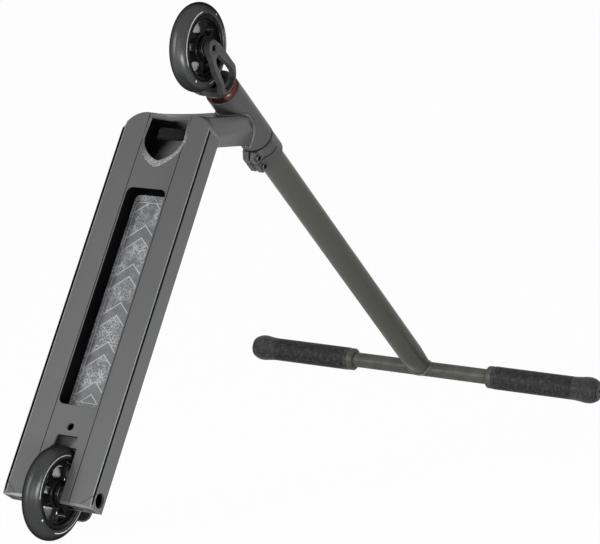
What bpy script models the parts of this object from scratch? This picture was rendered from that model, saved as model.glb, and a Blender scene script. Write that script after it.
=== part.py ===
"""Stunt scooter, parked upside down: it rests on its rear wheel and on the outer flanges of both grips.

Everything is designed in the riding frame of the empty "scooter": X forward, Y to the rider's left, Z up, with
its origin on the rear axle. That empty is then turned over to the parked stance. The steering pieces hang on the
empty "steering_axis", whose local Z runs up the steering axis and whose local X points forward.
"""

import math

import bmesh
import bpy
from mathutils import Matrix, Vector

# Driving dimensions, in metres.
GAP = 0.0003  # between pieces that touch
CUT = 0.001  # how far a cutter runs past the face it cuts

WHEELBASE = 0.575
WHEEL_DIAMETER = 0.110
WHEEL_WIDTH = 0.024
CORE_RADIUS = 0.0403
CORE_WIDTH = 0.0215
RIM_THICKNESS = 0.0045
RIDGE_HEIGHT = 0.0020
RIDGE_WIDTH = 0.0080
SPOKE_WIDTH = 0.0110
HUB_RADIUS = 0.0150
WINDOW_COUNT = 6
WINDOW_ANGLE = math.radians(41)
REAR_WHEEL_TURN = math.radians(142.5)
FRONT_WHEEL_TURN = math.radians(-5)
BEARING_DIAMETER = 0.022
BEARING_WIDTH = 0.007
BEARING_GROOVE = 0.0005
BEARING_SHOULDER = 0.0015
BEARING_SPACER_WALL = 0.0015
AXLE_PLAY = 0.0004
BOLT_DIAMETER = 0.008
AXLE_SPACER_RADIUS = 0.0065
FRONT_HEAD_RADIUS = 0.0062
BOLT_SEAT_PLAY = 0.0007  # around the front head, which is sunk in the fork
REAR_HEAD_RADIUS = 0.0065
AXLE_HEAD_HEIGHT = 0.0045
AXLE_SOCKET = 0.005  # across flats
AXLE_NUT = 0.013  # across flats
AXLE_NUT_HEIGHT = 0.0065
AXLE_NUT_GRIP = 0.008  # the bolt's length past the part it holds

DECK_WIDTH = 0.125
DECK_HEIGHT = 0.0235
DECK_TOP = 0.013  # above the rear axle
DECK_TAIL = 0.0125  # behind the rear axle
DECK_FRONT_GAP = 0.096  # behind the front axle
DECK_WALL = 0.003
DECK_SKIN = 0.0023  # top wall
DECK_CORNER = 0.029
FRONT_SCOOP = 0.0045
NOSE_LEAN = 0.011  # how far the front leans forward up to the deck's top
NOSE_SPREAD = 0.003
WEB_INSIDE = 0.0283
WEB_WALL = 0.003
CHAMBER_CAP = 0.027
FRONT_WALL = 0.003
EDGE_ROUND = 0.001
STRIP_HALF_WIDTH = 0.0295
STRIP_GROOVE_WIDTH = 0.0009
STRIP_GROOVE_DEPTH = 0.0007
LIP_WIDTH = 0.0009
LIP_GROOVE_WIDTH = 0.0026
LIP_GROOVE_DEPTH = 0.0014

MOUTH_HALF_WIDTH = 0.0272
MOUTH_NOSE = 0.030
MOUTH_LENGTH = 0.061
MOUTH_LEAN_IN = 0.0018
MOUTH_RIM = 0.0046
MOUTH_RIM_DEPTH = 0.0016
POCKET_REAR = 0.1035
POCKET_CAP = 0.0985  # behind the deck's front
POCKET_HALF_WIDTH = 0.0273
POCKET_CORNER = 0.008
SLOT_HALF_WIDTH = 0.01775
SLOT_FRONT = 0.0585
SLOT_STEP = 0.053
NOTCH_HALF_WIDTH = 0.0155
NOTCH_FRONT = 0.067
NOTCH_CORNER = 0.004
TAIL_CHAMFER = 0.0026
FACET_ALONG = 0.0173
FACET_ACROSS = 0.0211
FACET_RISE = 0.0022
ACCESS_DIAMETER = 0.0176
PLUG_THICKNESS = 0.0025
INSERT_THICKNESS = 0.0008
INSERT_MARGIN = 0.0010
TAPE_THICKNESS = 0.0009
TAPE_MARGIN = 0.0018

NECK_FOOT = 0.0284  # its length along the deck
NECK_WALL = 0.003
NECK_WAIST = 0.0035
NECK_CREASE = math.radians(60)
NECK_LOW = 0.0245  # above the head tube's lower end
NECK_CORNER = 0.0345
NECK_SIDE = 0.0485
NECK_SHOULDER = 0.0695
NECK_HIGH = 0.0935
NECK_OPENING_LENGTH = 0.0165
NECK_OPENING_HALF_WIDTH = 0.0262

STEER_ANGLE = math.radians(83)
FORK_OFFSET = 0.008
CROWN_TOP = 0.0715
CROWN_RADIUS = 0.0205
CROWN_HEIGHT = 0.0125
CROWN_FLANGE = 0.0052
COLUMN_RADIUS = 0.0168  # under the flange, seen through the legs' windows
BRIDGE_FRONT = -0.0120  # the bridge fills the crown behind this
WHEEL_CLEARANCE = 0.0062
LEG_INSIDE = 0.0145
LEG_THICKNESS = 0.0075
BOSS_RADIUS = 0.0105
STEERER_RADIUS = 0.0143
STEERER_WALL = 0.0028
STEERER_TOP = 0.216
RING_HEIGHT = 0.0074
RING_RADIUS = 0.0218
HEAD_RADIUS = 0.0225
HEAD_HEIGHT = 0.105
HEAD_BORE = 0.0165
CUP_RADIUS = 0.0205
CUP_DEPTH = 0.0070
HEADSET_CAP_HEIGHT = 0.0034
COLLAR_WALL = 0.0009

CLAMP_HEIGHT = 0.0335
CLAMP_RADIUS = 0.0220
CLAMP_EAR = 0.0305
CLAMP_EAR_HALF_WIDTH = 0.0115
CLAMP_SLIT = 0.003
CLAMP_BOLT_BACK = 0.0245
CLAMP_TURN = math.radians(5)
CLAMP_RELIEF = 0.002
CLAMP_BOLT_RADIUS = 0.0029
CLAMP_BOLT_HEAD = 0.0046
CLAMP_BOLT_PITCH = 0.019
CLAMP_BOLT_SOCKET = 0.004
CLAMP_CHAMFER = 0.008
COMPRESSION_BOLT_RADIUS = 0.003
COMPRESSION_BOLT_LENGTH = 0.030
COMPRESSION_HEAD = 0.005
COMPRESSION_CAP_HEIGHT = 0.0032
SHIM_RISE = 0.003  # above the steerer's top
STAR_NUT_DEPTH = 0.020
STAR_NUT_HEIGHT = 0.006

BAR_HEIGHT = 0.808
BAR_WIDTH = 0.565
TUBE_RADIUS = 0.01745
TUBE_WALL = 0.0016
TUBE_TAPER = 0.045
CROSSBAR_RADIUS = 0.0111
CROSSBAR_WALL = 0.0022
GRIP_LENGTH = 0.174
GRIP_RADIUS = 0.0168
GRIP_FLANGE_RADIUS = 0.0188
GRIP_FLANGE_LENGTH = 0.0040
GRIP_FLARE = 0.0200  # from the flange down to the plain grip
GRIP_END = 0.0015
GRIP_END_ROUND = 0.0135
GRIP_RING_LENGTH = 0.0105
GRIP_RING_STEP = 0.0004  # below the grip's face
BAR_END_RADIUS = 0.0120
BAR_END_DEPTH = 0.018
BAR_END_BORE = 0.0060
BAR_END_HOLE = 0.0025
CROSSBAR_SHORT = 0.003  # each side, inside the grips

BRAKE_CLEARANCE = 0.003
BRAKE_THICKNESS = 0.004
BRAKE_HALF_WIDTH = 0.0165
BRAKE_REACH = math.radians(103)
BRAKE_CORNER = 0.010
BRAKE_FOOT = 0.0715
BRAKE_FOOT_HEIGHT = 0.0045
BRAKE_FOOT_CLEARANCE = 0.0008
BRAKE_BOLT = 0.0775  # ahead of the rear axle
BRAKE_BOLT_RADIUS = 0.0026
BRAKE_BOLT_HEAD = 0.0043
BRAKE_BOLT_SOCKET = 0.003
BRAKE_BOLT_GRIP = 0.006
BRAKE_NUT = 0.008
BRAKE_NUT_HEIGHT = 0.004
LEAF_THICKNESS = 0.0015
LEAF_HALF_WIDTH = 0.014
LEAF_FRONT = 0.092

ROUND = 32
RING_ROUND = 28
SMALL_ROUND = 18
SMOOTH_ANGLE = math.radians(30)

WHEEL_RADIUS = WHEEL_DIAMETER / 2
DECK_BOTTOM = DECK_TOP - DECK_HEIGHT
DECK_HALF = DECK_WIDTH / 2
DECK_FRONT = WHEELBASE - DECK_FRONT_GAP
CHAMBER_END = DECK_FRONT - CHAMBER_CAP
MOUTH_TIP = DECK_FRONT - MOUTH_LENGTH
POCKET_FRONT = DECK_FRONT - POCKET_CAP
NECK_REAR = DECK_FRONT - NECK_FOOT
CHANNEL_FLOOR = DECK_BOTTOM + DECK_WALL
CHANNEL_ROOF = DECK_TOP - DECK_SKIN
WEB_OUTSIDE = WEB_INSIDE + WEB_WALL
BOLT_RADIUS = BOLT_DIAMETER / 2
HEAD_BOTTOM = CROWN_TOP + RING_HEIGHT + 2 * GAP
HEAD_TOP = HEAD_BOTTOM + HEAD_HEIGHT
CLAMP_BOTTOM = HEAD_TOP + HEADSET_CAP_HEIGHT + 2 * GAP
CLAMP_TOP = CLAMP_BOTTOM + CLAMP_HEIGHT
CLAMP_MIDDLE = (CLAMP_BOTTOM + CLAMP_TOP) / 2


def collection(name):
    made = bpy.data.collections.new(name)
    bpy.context.scene.collection.children.link(made)
    return made


for old in list(bpy.data.objects):
    bpy.data.objects.remove(old, do_unlink=True)
PARTS = collection("stunt_scooter")
CUTTERS = collection("cutters")


def material(name, colour, roughness, metallic):
    made = bpy.data.materials.new(name)
    made.use_nodes = True
    shader = made.node_tree.nodes["Principled BSDF"]
    shader.inputs["Base Color"].default_value = (*colour, 1.0)
    shader.inputs["Roughness"].default_value = roughness
    shader.inputs["Metallic"].default_value = metallic
    return made


SATIN_GREY = material("satin grey anodising", (0.115, 0.118, 0.116), 0.42, 0.85)
BAR_GREY = material("satin warm grey coating", (0.088, 0.088, 0.074), 0.36, 0.75)
BLACK_METAL = material("black anodising", (0.018, 0.018, 0.020), 0.35, 0.80)
COPPER = material("copper red anodising", (0.55, 0.15, 0.10), 0.30, 0.90)
STEEL = material("bright steel", (0.56, 0.56, 0.57), 0.28, 1.00)
BLACK_STEEL = material("blackened steel", (0.022, 0.022, 0.023), 0.38, 0.90)
TYRE = material("black cast urethane", (0.012, 0.012, 0.012), 0.22, 0.0)
RUBBER = material("black rubber", (0.020, 0.020, 0.021), 0.62, 0.0)
NYLON = material("black nylon", (0.014, 0.014, 0.014), 0.48, 0.0)
TAPE = material("black grit", (0.016, 0.016, 0.016), 0.95, 0.0)
PRINT = material("printed film", (0.050, 0.050, 0.056), 0.40, 0.0)


def empty(name, parent=None, location=(0, 0, 0), rotation=(0, 0, 0)):
    made = bpy.data.objects.new(name, None)
    PARTS.objects.link(made)
    made.parent = parent
    made.location = location
    made.rotation_euler = rotation
    return made


def placed(name, mesh, parent, look=None):
    """A node with a look, or a cutter without one."""
    made = bpy.data.objects.new(name, mesh)
    made.parent = parent
    if look is None:
        CUTTERS.objects.link(made)
        made.hide_render = True
        made.display_type = "WIRE"
        return made
    PARTS.objects.link(made)
    mesh.materials.append(look)
    return made


def boolean(target, tool, operation):
    made = target.modifiers.new(tool.name, "BOOLEAN")
    made.operation = operation
    made.solver = "EXACT"
    made.object = tool


def cut(target, *tools):
    for tool in tools:
        boolean(target, tool, "DIFFERENCE")


def join(target, *tools):
    for tool in tools:
        boolean(target, tool, "UNION")


def finished(bm, name):
    bmesh.ops.recalc_face_normals(bm, faces=bm.faces)
    mesh = bpy.data.meshes.new(name)
    bm.to_mesh(mesh)
    bm.free()
    return mesh


def turned(name, profile, parent, look=None, steps=ROUND, location=(0, 0, 0), rotation=(0, 0, 0)):
    """A profile of (radius, height) points, down its outer side first, swept round the local Z axis."""
    bm = bmesh.new()
    points = [bm.verts.new((radius, 0, height)) for radius, height in profile]
    for first, second in zip(points, points[1:]):
        bm.edges.new((first, second))
    if profile[0][0] > 0:
        bm.edges.new((points[-1], points[0]))
    mesh = bpy.data.meshes.new(name)
    bm.to_mesh(mesh)
    bm.free()
    made = placed(name, mesh, parent, look)
    made.location = location
    made.rotation_euler = rotation
    sweep = made.modifiers.new("turn", "SCREW")
    sweep.steps = steps
    sweep.render_steps = steps
    sweep.use_merge_vertices = True
    sweep.merge_threshold = 0.00001
    sweep.use_smooth_shade = True
    return made


def tube(name, inner, outer, bottom, top, parent, look=None, steps=ROUND, edge=0.0, **where):
    """A plain tube or ring with its outer edges broken."""
    profile = [(outer - edge, top)]
    if edge:
        profile.append((outer, top - edge))
        profile.append((outer, bottom + edge))
    profile.append((outer - edge, bottom))
    profile += [(inner, bottom), (inner, top)]
    return turned(name, profile, parent, look, steps, **where)


def rod(name, radius, bottom, top, parent, look=None, steps=SMALL_ROUND, **where):
    return turned(name, [(0, top), (radius, top), (radius, bottom), (0, bottom)], parent, look, steps, **where)


def flat_mesh(name, outline, bottom, top, holes=(), plane="XY"):
    """A 2D outline with holes, filled and given a thickness. Plane YZ runs it along X, and XZ along Y."""
    curve = bpy.data.curves.new(name, "CURVE")
    curve.dimensions = "2D"
    curve.fill_mode = "BOTH"
    curve.extrude = (top - bottom) / 2
    for loop in (outline, *holes):
        spline = curve.splines.new("POLY")
        spline.points.add(len(loop) - 1)
        for point, (x, y) in zip(spline.points, loop):
            point.co = (x, y, 0, 1)
        spline.use_cyclic_u = True
    guide = bpy.data.objects.new(name, curve)
    CUTTERS.objects.link(guide)
    bpy.context.view_layer.update()
    mesh = bpy.data.meshes.new_from_object(guide.evaluated_get(bpy.context.evaluated_depsgraph_get()))
    bpy.data.objects.remove(guide, do_unlink=True)
    turn = {
        "XY": Matrix.Identity(4),
        "YZ": Matrix(((0, 0, 1, 0), (1, 0, 0, 0), (0, 1, 0, 0), (0, 0, 0, 1))),
        "XZ": Matrix(((1, 0, 0, 0), (0, 0, -1, 0), (0, 1, 0, 0), (0, 0, 0, 1))),
    }[plane]
    middle = (top + bottom) / 2
    shift = Matrix.Translation((0, 0, -middle if plane == "XZ" else middle))
    bm = bmesh.new()
    bm.from_mesh(mesh)
    bpy.data.meshes.remove(mesh)
    bmesh.ops.remove_doubles(bm, verts=bm.verts, dist=0.000001)
    bm.transform(turn @ shift)
    return finished(bm, name)


def flat(name, outline, bottom, top, parent, look=None, holes=(), plane="XY"):
    return placed(name, flat_mesh(name, outline, bottom, top, holes, plane), parent, look)


def box(name, low, high, parent, look=None):
    bm = bmesh.new()
    size = Vector(high) - Vector(low)
    middle = (Vector(high) + Vector(low)) / 2
    bmesh.ops.create_cube(bm, size=1, matrix=Matrix.Translation(middle) @ Matrix.Diagonal((*size, 1)))
    return placed(name, finished(bm, name), parent, look)


def loft_mesh(name, sections):
    """Rings of as many points each, joined by strips and closed at both ends."""
    bm = bmesh.new()
    rings = [[bm.verts.new(point) for point in section] for section in sections]
    count = len(sections[0])
    for first, second in zip(rings, rings[1:]):
        for i in range(count):
            j = (i + 1) % count
            bm.faces.new((first[i], first[j], second[j], second[i]))
    bm.faces.new(rings[0])
    bm.faces.new(rings[-1])
    bmesh.ops.triangulate(bm, faces=bm.faces)
    mesh = finished(bm, name)
    mesh.shade_smooth()
    mesh.set_sharp_from_angle(angle=SMOOTH_ANGLE)
    return mesh


def loft(name, sections, parent, look=None):
    return placed(name, loft_mesh(name, sections), parent, look)


def arc(centre, radius, start, end, count):
    """Points on an arc, angles in radians."""
    return [
        (centre[0] + radius * math.cos(angle), centre[1] + radius * math.sin(angle))
        for angle in (start + (end - start) * i / count for i in range(count + 1))
    ]


def rounded(x0, x1, y0, y1, corner, count=5):
    quarter = math.pi / 2
    return (
        arc((x1 - corner, y1 - corner), corner, 0, quarter, count)
        + arc((x0 + corner, y1 - corner), corner, quarter, 2 * quarter, count)
        + arc((x0 + corner, y0 + corner), corner, 2 * quarter, 3 * quarter, count)
        + arc((x1 - corner, y0 + corner), corner, 3 * quarter, 4 * quarter, count)
    )


def mirrored(half):
    """A half outline from rear to front at +Y, closed by the same points at -Y."""
    return half + [(x, -y) for x, y in reversed(half) if y > 0]


def hexagon(across_flats):
    return arc((0, 0), across_flats / math.sqrt(3), 0, 2 * math.pi * 5 / 6, 5)


def cap_bolt(name, radius, head_radius, head_height, length, parent, look, socket, **where):
    """A bolt down the local -Z axis with the underside of its round head at the origin."""
    edge = head_height / 8
    bolt = turned(
        name,
        [
            (0, head_height),
            (head_radius - edge, head_height),
            (head_radius, head_height - edge),
            (head_radius, 0),
            (radius, 0),
            (radius, -length + edge),
            (radius - edge, -length),
            (0, -length),
        ],
        parent,
        look,
        SMALL_ROUND,
        **where,
    )
    hole = flat(name + "_socket", hexagon(socket), head_height * 0.4, head_height + CUT, parent)
    hole.location = bolt.location
    hole.rotation_euler = bolt.rotation_euler
    cut(bolt, hole)
    return bolt


def nut(name, radius, across_flats, height, parent, look, **where):
    """A hexagon nut from the local origin up."""
    bore = arc((0, 0), radius, 0, 2 * math.pi * (SMALL_ROUND - 1) / SMALL_ROUND, SMALL_ROUND - 1)
    made = flat(name, hexagon(across_flats), 0, height, parent, look, holes=(bore,))
    made.location = where.get("location", (0, 0, 0))
    made.rotation_euler = where.get("rotation", (0, 0, 0))
    return made


# The stance: the deck is rolled over, so riding Y runs the other way, and the grips' flanges and the rear wheel
# touch the ground. The lean is the angle from the ground to the deck.
STEER_UP = Vector((-math.cos(STEER_ANGLE), 0, math.sin(STEER_ANGLE)))
STEER_AHEAD = Vector((math.sin(STEER_ANGLE), 0, math.cos(STEER_ANGLE)))
STEER_FOOT = Vector((WHEELBASE, 0, 0)) - FORK_OFFSET * STEER_AHEAD
BAR_CENTRE = STEER_FOOT + BAR_HEIGHT * STEER_UP
LEAN = math.atan2(BAR_CENTRE.z, BAR_CENTRE.x) - math.asin(
    (WHEEL_RADIUS - GRIP_FLANGE_RADIUS) / BAR_CENTRE.length
)
BAR_REACH = BAR_CENTRE.x * math.cos(LEAN) + BAR_CENTRE.z * math.sin(LEAN)

scooter = empty(
    "scooter",
    location=((WHEEL_RADIUS - BAR_REACH - GRIP_FLANGE_RADIUS) / 2, 0, WHEEL_RADIUS),
    rotation=(math.pi, -LEAN, 0),
)
ACROSS = (-math.pi / 2, 0, 0)  # turns local Z to the rider's left
steering_axis = empty("steering_axis", scooter, STEER_FOOT, (0, STEER_ANGLE - math.pi / 2, 0))
front_axle = empty("front_axle", steering_axis, (FORK_OFFSET, 0, 0), ACROSS)
rear_axle = empty("rear_axle", scooter, (0, 0, 0), ACROSS)
head_axis = empty("head_axis", scooter, STEER_FOOT, (0, STEER_ANGLE - math.pi / 2, 0))
bar_axis = empty("bar_axis", steering_axis, (0, 0, BAR_HEIGHT), ACROSS)


def front_half(raised=0.0, inset=0.0, count=6):
    """Half of the deck's front outline, from the side to the middle: a corner, then the scooped edge.

    At the bottom the corner is round. Up to the top it opens into a straight facet that leans forward.
    """
    side = DECK_HALF - DECK_CORNER
    centre = (DECK_FRONT - DECK_CORNER, side)
    corner = arc(centre, DECK_CORNER - inset, math.pi / 2, 0, count)
    crease = Vector(arc(centre, DECK_CORNER - inset, NECK_CREASE, NECK_CREASE, 1)[0])
    front = Vector((DECK_FRONT - inset + NOSE_LEAN, side + NOSE_SPREAD))
    half = []
    for index, point in enumerate(corner):
        angle = math.pi / 2 * (1 - index / count)
        top = crease.lerp(front, 1 - angle / NECK_CREASE) if angle < NECK_CREASE else Vector(point)
        half.append(tuple(Vector(point).lerp(top, raised)))
    x, y = half[-1]
    half += [(x - FRONT_SCOOP * (1 - share * share), y * share) for share in (0.75, 0.5, 0.25, 0.0)]
    return half


def mouth_half(margin=0.0):
    """Half of the opening under the deck's front, from its rear tip forward."""
    width = MOUTH_HALF_WIDTH + margin
    root = MOUTH_TIP + MOUTH_NOSE
    nose = MOUTH_NOSE + 2 * margin
    half = []
    for step in range(8):
        share = math.cos(math.pi / 2 * step / 7)
        half.append((root - nose * share, width * max(0.0, 1 - share * share) ** 0.75))
    front = DECK_FRONT - FRONT_SCOOP - FRONT_WALL
    half += [(front + FRONT_SCOOP * 0.4, width - MOUTH_LEAN_IN), (front, 0.0)]
    return half


def make_deck():
    side = DECK_HALF
    lip = side - LIP_WIDTH
    groove = lip - LIP_GROOVE_WIDTH
    half = [
        (STRIP_HALF_WIDTH - STRIP_GROOVE_WIDTH / 2, DECK_BOTTOM),
        (STRIP_HALF_WIDTH - STRIP_GROOVE_WIDTH / 2, DECK_BOTTOM + STRIP_GROOVE_DEPTH),
        (STRIP_HALF_WIDTH + STRIP_GROOVE_WIDTH / 2, DECK_BOTTOM + STRIP_GROOVE_DEPTH),
        (STRIP_HALF_WIDTH + STRIP_GROOVE_WIDTH / 2, DECK_BOTTOM),
        (groove, DECK_BOTTOM),
        (groove + EDGE_ROUND / 2, DECK_BOTTOM + LIP_GROOVE_DEPTH),
        (lip - EDGE_ROUND / 4, DECK_BOTTOM + LIP_GROOVE_DEPTH),
        (lip, DECK_BOTTOM + EDGE_ROUND / 4),
        (side - EDGE_ROUND / 4, DECK_BOTTOM + EDGE_ROUND / 4),
        (side, DECK_BOTTOM + EDGE_ROUND),
        (side, DECK_TOP - EDGE_ROUND),
        (side - EDGE_ROUND, DECK_TOP),
    ]
    section = half + [(-y, z) for y, z in reversed(half)]
    end = DECK_FRONT + NOSE_LEAN + CUT
    deck = flat("deck_extrusion", section, -DECK_TAIL, end, scooter, SATIN_GREY, plane="YZ")

    wide = side + 10 * CUT
    start = DECK_FRONT - DECK_CORNER
    beyond = end + 10 * CUT
    levels = []
    for raised, height in ((0.0, DECK_BOTTOM - CUT), (1.0, DECK_TOP + CUT)):
        nose = front_half(raised)
        ring = nose + [(x, -y) for x, y in reversed(nose[:-1])]
        ring += [(start, -wide), (beyond, -wide), (beyond, wide), (start, wide)]
        levels.append([(x, y, height) for x, y in ring])
    cut(deck, loft("nose_cut", levels, scooter))

    tail = -DECK_TAIL - CUT
    wall_bottom = DECK_BOTTOM - CUT
    wall_top = CHANNEL_FLOOR + CUT
    for side_name, sign in (("left", 1), ("right", -1)):
        inner, outer = sorted((sign * WEB_OUTSIDE, sign * (side - DECK_WALL)))
        low = (tail, inner, CHANNEL_FLOOR)
        high = (CHAMBER_END, outer, CHANNEL_ROOF)
        cut(deck, box(f"chamber_{side_name}", low, high, scooter))
    channel_end = DECK_FRONT - FRONT_SCOOP - FRONT_WALL
    cut(
        deck,
        box("channel", (tail, -WEB_INSIDE, CHANNEL_FLOOR), (channel_end, WEB_INSIDE, CHANNEL_ROOF), scooter),
        flat("mouth", mirrored(mouth_half()), wall_bottom, wall_top, scooter),
    )
    slope = MOUTH_RIM_DEPTH / MOUTH_RIM
    cut(
        deck,
        loft(
            "mouth_rim",
            [
                [(x, y, wall_bottom) for x, y in mirrored(mouth_half(MOUTH_RIM + CUT / slope))],
                [(x, y, DECK_BOTTOM + MOUTH_RIM_DEPTH) for x, y in mirrored(mouth_half())],
            ],
            scooter,
        ),
    )
    pocket = rounded(POCKET_REAR, POCKET_FRONT, -POCKET_HALF_WIDTH, POCKET_HALF_WIDTH, POCKET_CORNER, 6)
    cut(deck, flat("pocket", pocket, wall_bottom, wall_top, scooter))
    notch = rounded(SLOT_STEP - NOTCH_CORNER * 2, NOTCH_FRONT, -NOTCH_HALF_WIDTH, NOTCH_HALF_WIDTH, NOTCH_CORNER, 4)
    wheel = SLOT_HALF_WIDTH
    cut(
        deck,
        box("slot_below", (tail, -wheel, wall_bottom), (SLOT_STEP, wheel, wall_top), scooter),
        flat("notch", notch, wall_bottom, wall_top, scooter),
        box("slot_above", (tail, -wheel, CHANNEL_ROOF - CUT), (SLOT_FRONT, wheel, DECK_TOP + CUT), scooter),
    )
    neck_slot = rounded(
        channel_end - CUT - NECK_OPENING_LENGTH,
        channel_end - CUT,
        -NECK_OPENING_HALF_WIDTH,
        NECK_OPENING_HALF_WIDTH,
        NECK_OPENING_LENGTH / 4,
        3,
    )
    cut(deck, flat("neck_slot", neck_slot, CHANNEL_ROOF - CUT, DECK_TOP + CUT, scooter))

    chamfer = [
        (tail, DECK_BOTTOM - CUT),
        (-DECK_TAIL + TAIL_CHAMFER + CUT, DECK_BOTTOM - CUT),
        (tail, DECK_BOTTOM + TAIL_CHAMFER + CUT),
    ]
    cut(deck, flat("tail_chamfer", chamfer, -side - CUT, side + CUT, scooter, plane="XZ"))
    for side_name, sign in (("left", 1), ("right", -1)):
        along = Vector((FACET_ALONG, FACET_ACROSS)).normalized()
        away = Vector((-along.y, along.x))
        foot = Vector((-DECK_TAIL, side - FACET_ACROSS))
        reach = Vector((-DECK_TAIL, side)) - foot
        slope = FACET_RISE / reach.dot(away)
        length = math.hypot(FACET_ALONG, FACET_ACROSS)
        low = -CUT / slope
        far = 2 * reach.dot(away)
        corners = [
            foot + along * distance + away * step
            for distance, step in ((-length, low), (2 * length, low), (2 * length, far), (-length, far))
        ]
        heights = [DECK_BOTTOM + slope * step for step in (low, low, far, far)]
        cutter = loft(
            f"tail_facet_{side_name}",
            [
                [(point.x, sign * point.y, DECK_BOTTOM - 2 * CUT) for point in corners],
                [(point.x, sign * point.y, height) for point, height in zip(corners, heights)],
            ],
            scooter,
        )
        cut(deck, cutter)

    middle = (WEB_INSIDE + DECK_HALF) / 2
    for side_name, sign in (("left", 1), ("right", -1)):
        cut(
            deck,
            rod(
                f"access_{side_name}",
                ACCESS_DIAMETER / 2,
                side - DECK_WALL - CUT,
                side + CUT,
                scooter,
                rotation=(-sign * math.pi / 2, 0, 0),
            ),
            rod(
                f"axle_hole_{side_name}",
                BOLT_RADIUS + AXLE_PLAY,
                WEB_INSIDE - CUT,
                middle,
                scooter,
                rotation=(-sign * math.pi / 2, 0, 0),
            ),
        )
    place = (BRAKE_BOLT, 0, 0)
    key_hole = BRAKE_BOLT_HEAD + AXLE_PLAY
    bolt_hole = BRAKE_BOLT_RADIUS + GAP
    cut(
        deck,
        rod("brake_bolt_access", key_hole, wall_bottom, wall_top, scooter, location=place),
        rod("brake_bolt_hole", bolt_hole, CHANNEL_ROOF - CUT, DECK_TOP + CUT, scooter, location=place),
    )
    return deck


def on_steering(up, angle, radius):
    """A point round the steering axis in the riding frame: the angle runs from straight back to the left."""
    back = -radius * math.cos(angle) * STEER_AHEAD
    return STEER_FOOT + up * STEER_UP + back + Vector((0, radius * math.sin(angle), 0))


def neck_ring(share, shrink=0.0):
    """The neck's section at a share of its way from the deck to the head tube."""
    inside = HEAD_RADIUS - GAP
    corner = front_half(1.0, GAP, 3)
    foot = [
        ((NECK_REAR, 0), (NECK_HIGH, 0), 0.0),
        ((NECK_REAR, DECK_HALF - GAP), (NECK_HIGH, 15), 0.0),
        (corner[1], (NECK_SHOULDER, 57), 0.0),
        (corner[2], (NECK_SIDE, 70), 0.0),
        (corner[3], (NECK_CORNER, 58), 0.4),
        (corner[5], (NECK_LOW + (NECK_CORNER - NECK_LOW) / 4, 28), 1.0),
        (corner[7], (NECK_LOW, 0), 1.0),
    ]
    half = []
    for (x, y), (rise, angle), waist in foot:
        start = Vector((x, y, DECK_TOP + GAP))
        end = on_steering(HEAD_BOTTOM + rise, math.radians(angle), inside)
        point = start.lerp(end, share)
        point.x -= NECK_WAIST * waist * max(0.0, 4 * share * (1 - share))
        half.append(point)
    ring = half + [Vector((p.x, -p.y, p.z)) for p in reversed(half[1:-1])]
    if not shrink:
        return ring
    low = Vector([min(p[axis] for p in ring) for axis in range(3)])
    high = Vector([max(p[axis] for p in ring) for axis in range(3)])
    middle = (low + high) / 2
    size = high - low
    factor = [max(0.2, 1 - 2 * shrink / length) if length > shrink else 1.0 for length in size]
    return [Vector([middle[i] + (p[i] - middle[i]) * factor[i] for i in range(3)]) for p in ring]


def make_neck():
    outside = [neck_ring(share) for share in (-0.06, 0.0, 0.2, 0.4, 0.6, 0.8, 1.0, 1.04)]
    inside = [neck_ring(share, NECK_WALL) for share in (-0.12, 0.0, 0.25, 0.5, 0.75, 1.0, 1.1)]
    neck = loft("neck", outside, scooter, SATIN_GREY)
    cut(
        neck,
        loft("neck_hollow", inside, scooter),
        box("neck_foot", (NECK_REAR - 0.1, -0.1, DECK_TOP - 0.05), (WHEELBASE, 0.1, DECK_TOP + GAP), scooter),
        rod("neck_saddle", HEAD_RADIUS + GAP, CROWN_TOP, HEAD_TOP + HEAD_RADIUS, head_axis, steps=ROUND),
    )
    return neck


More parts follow.
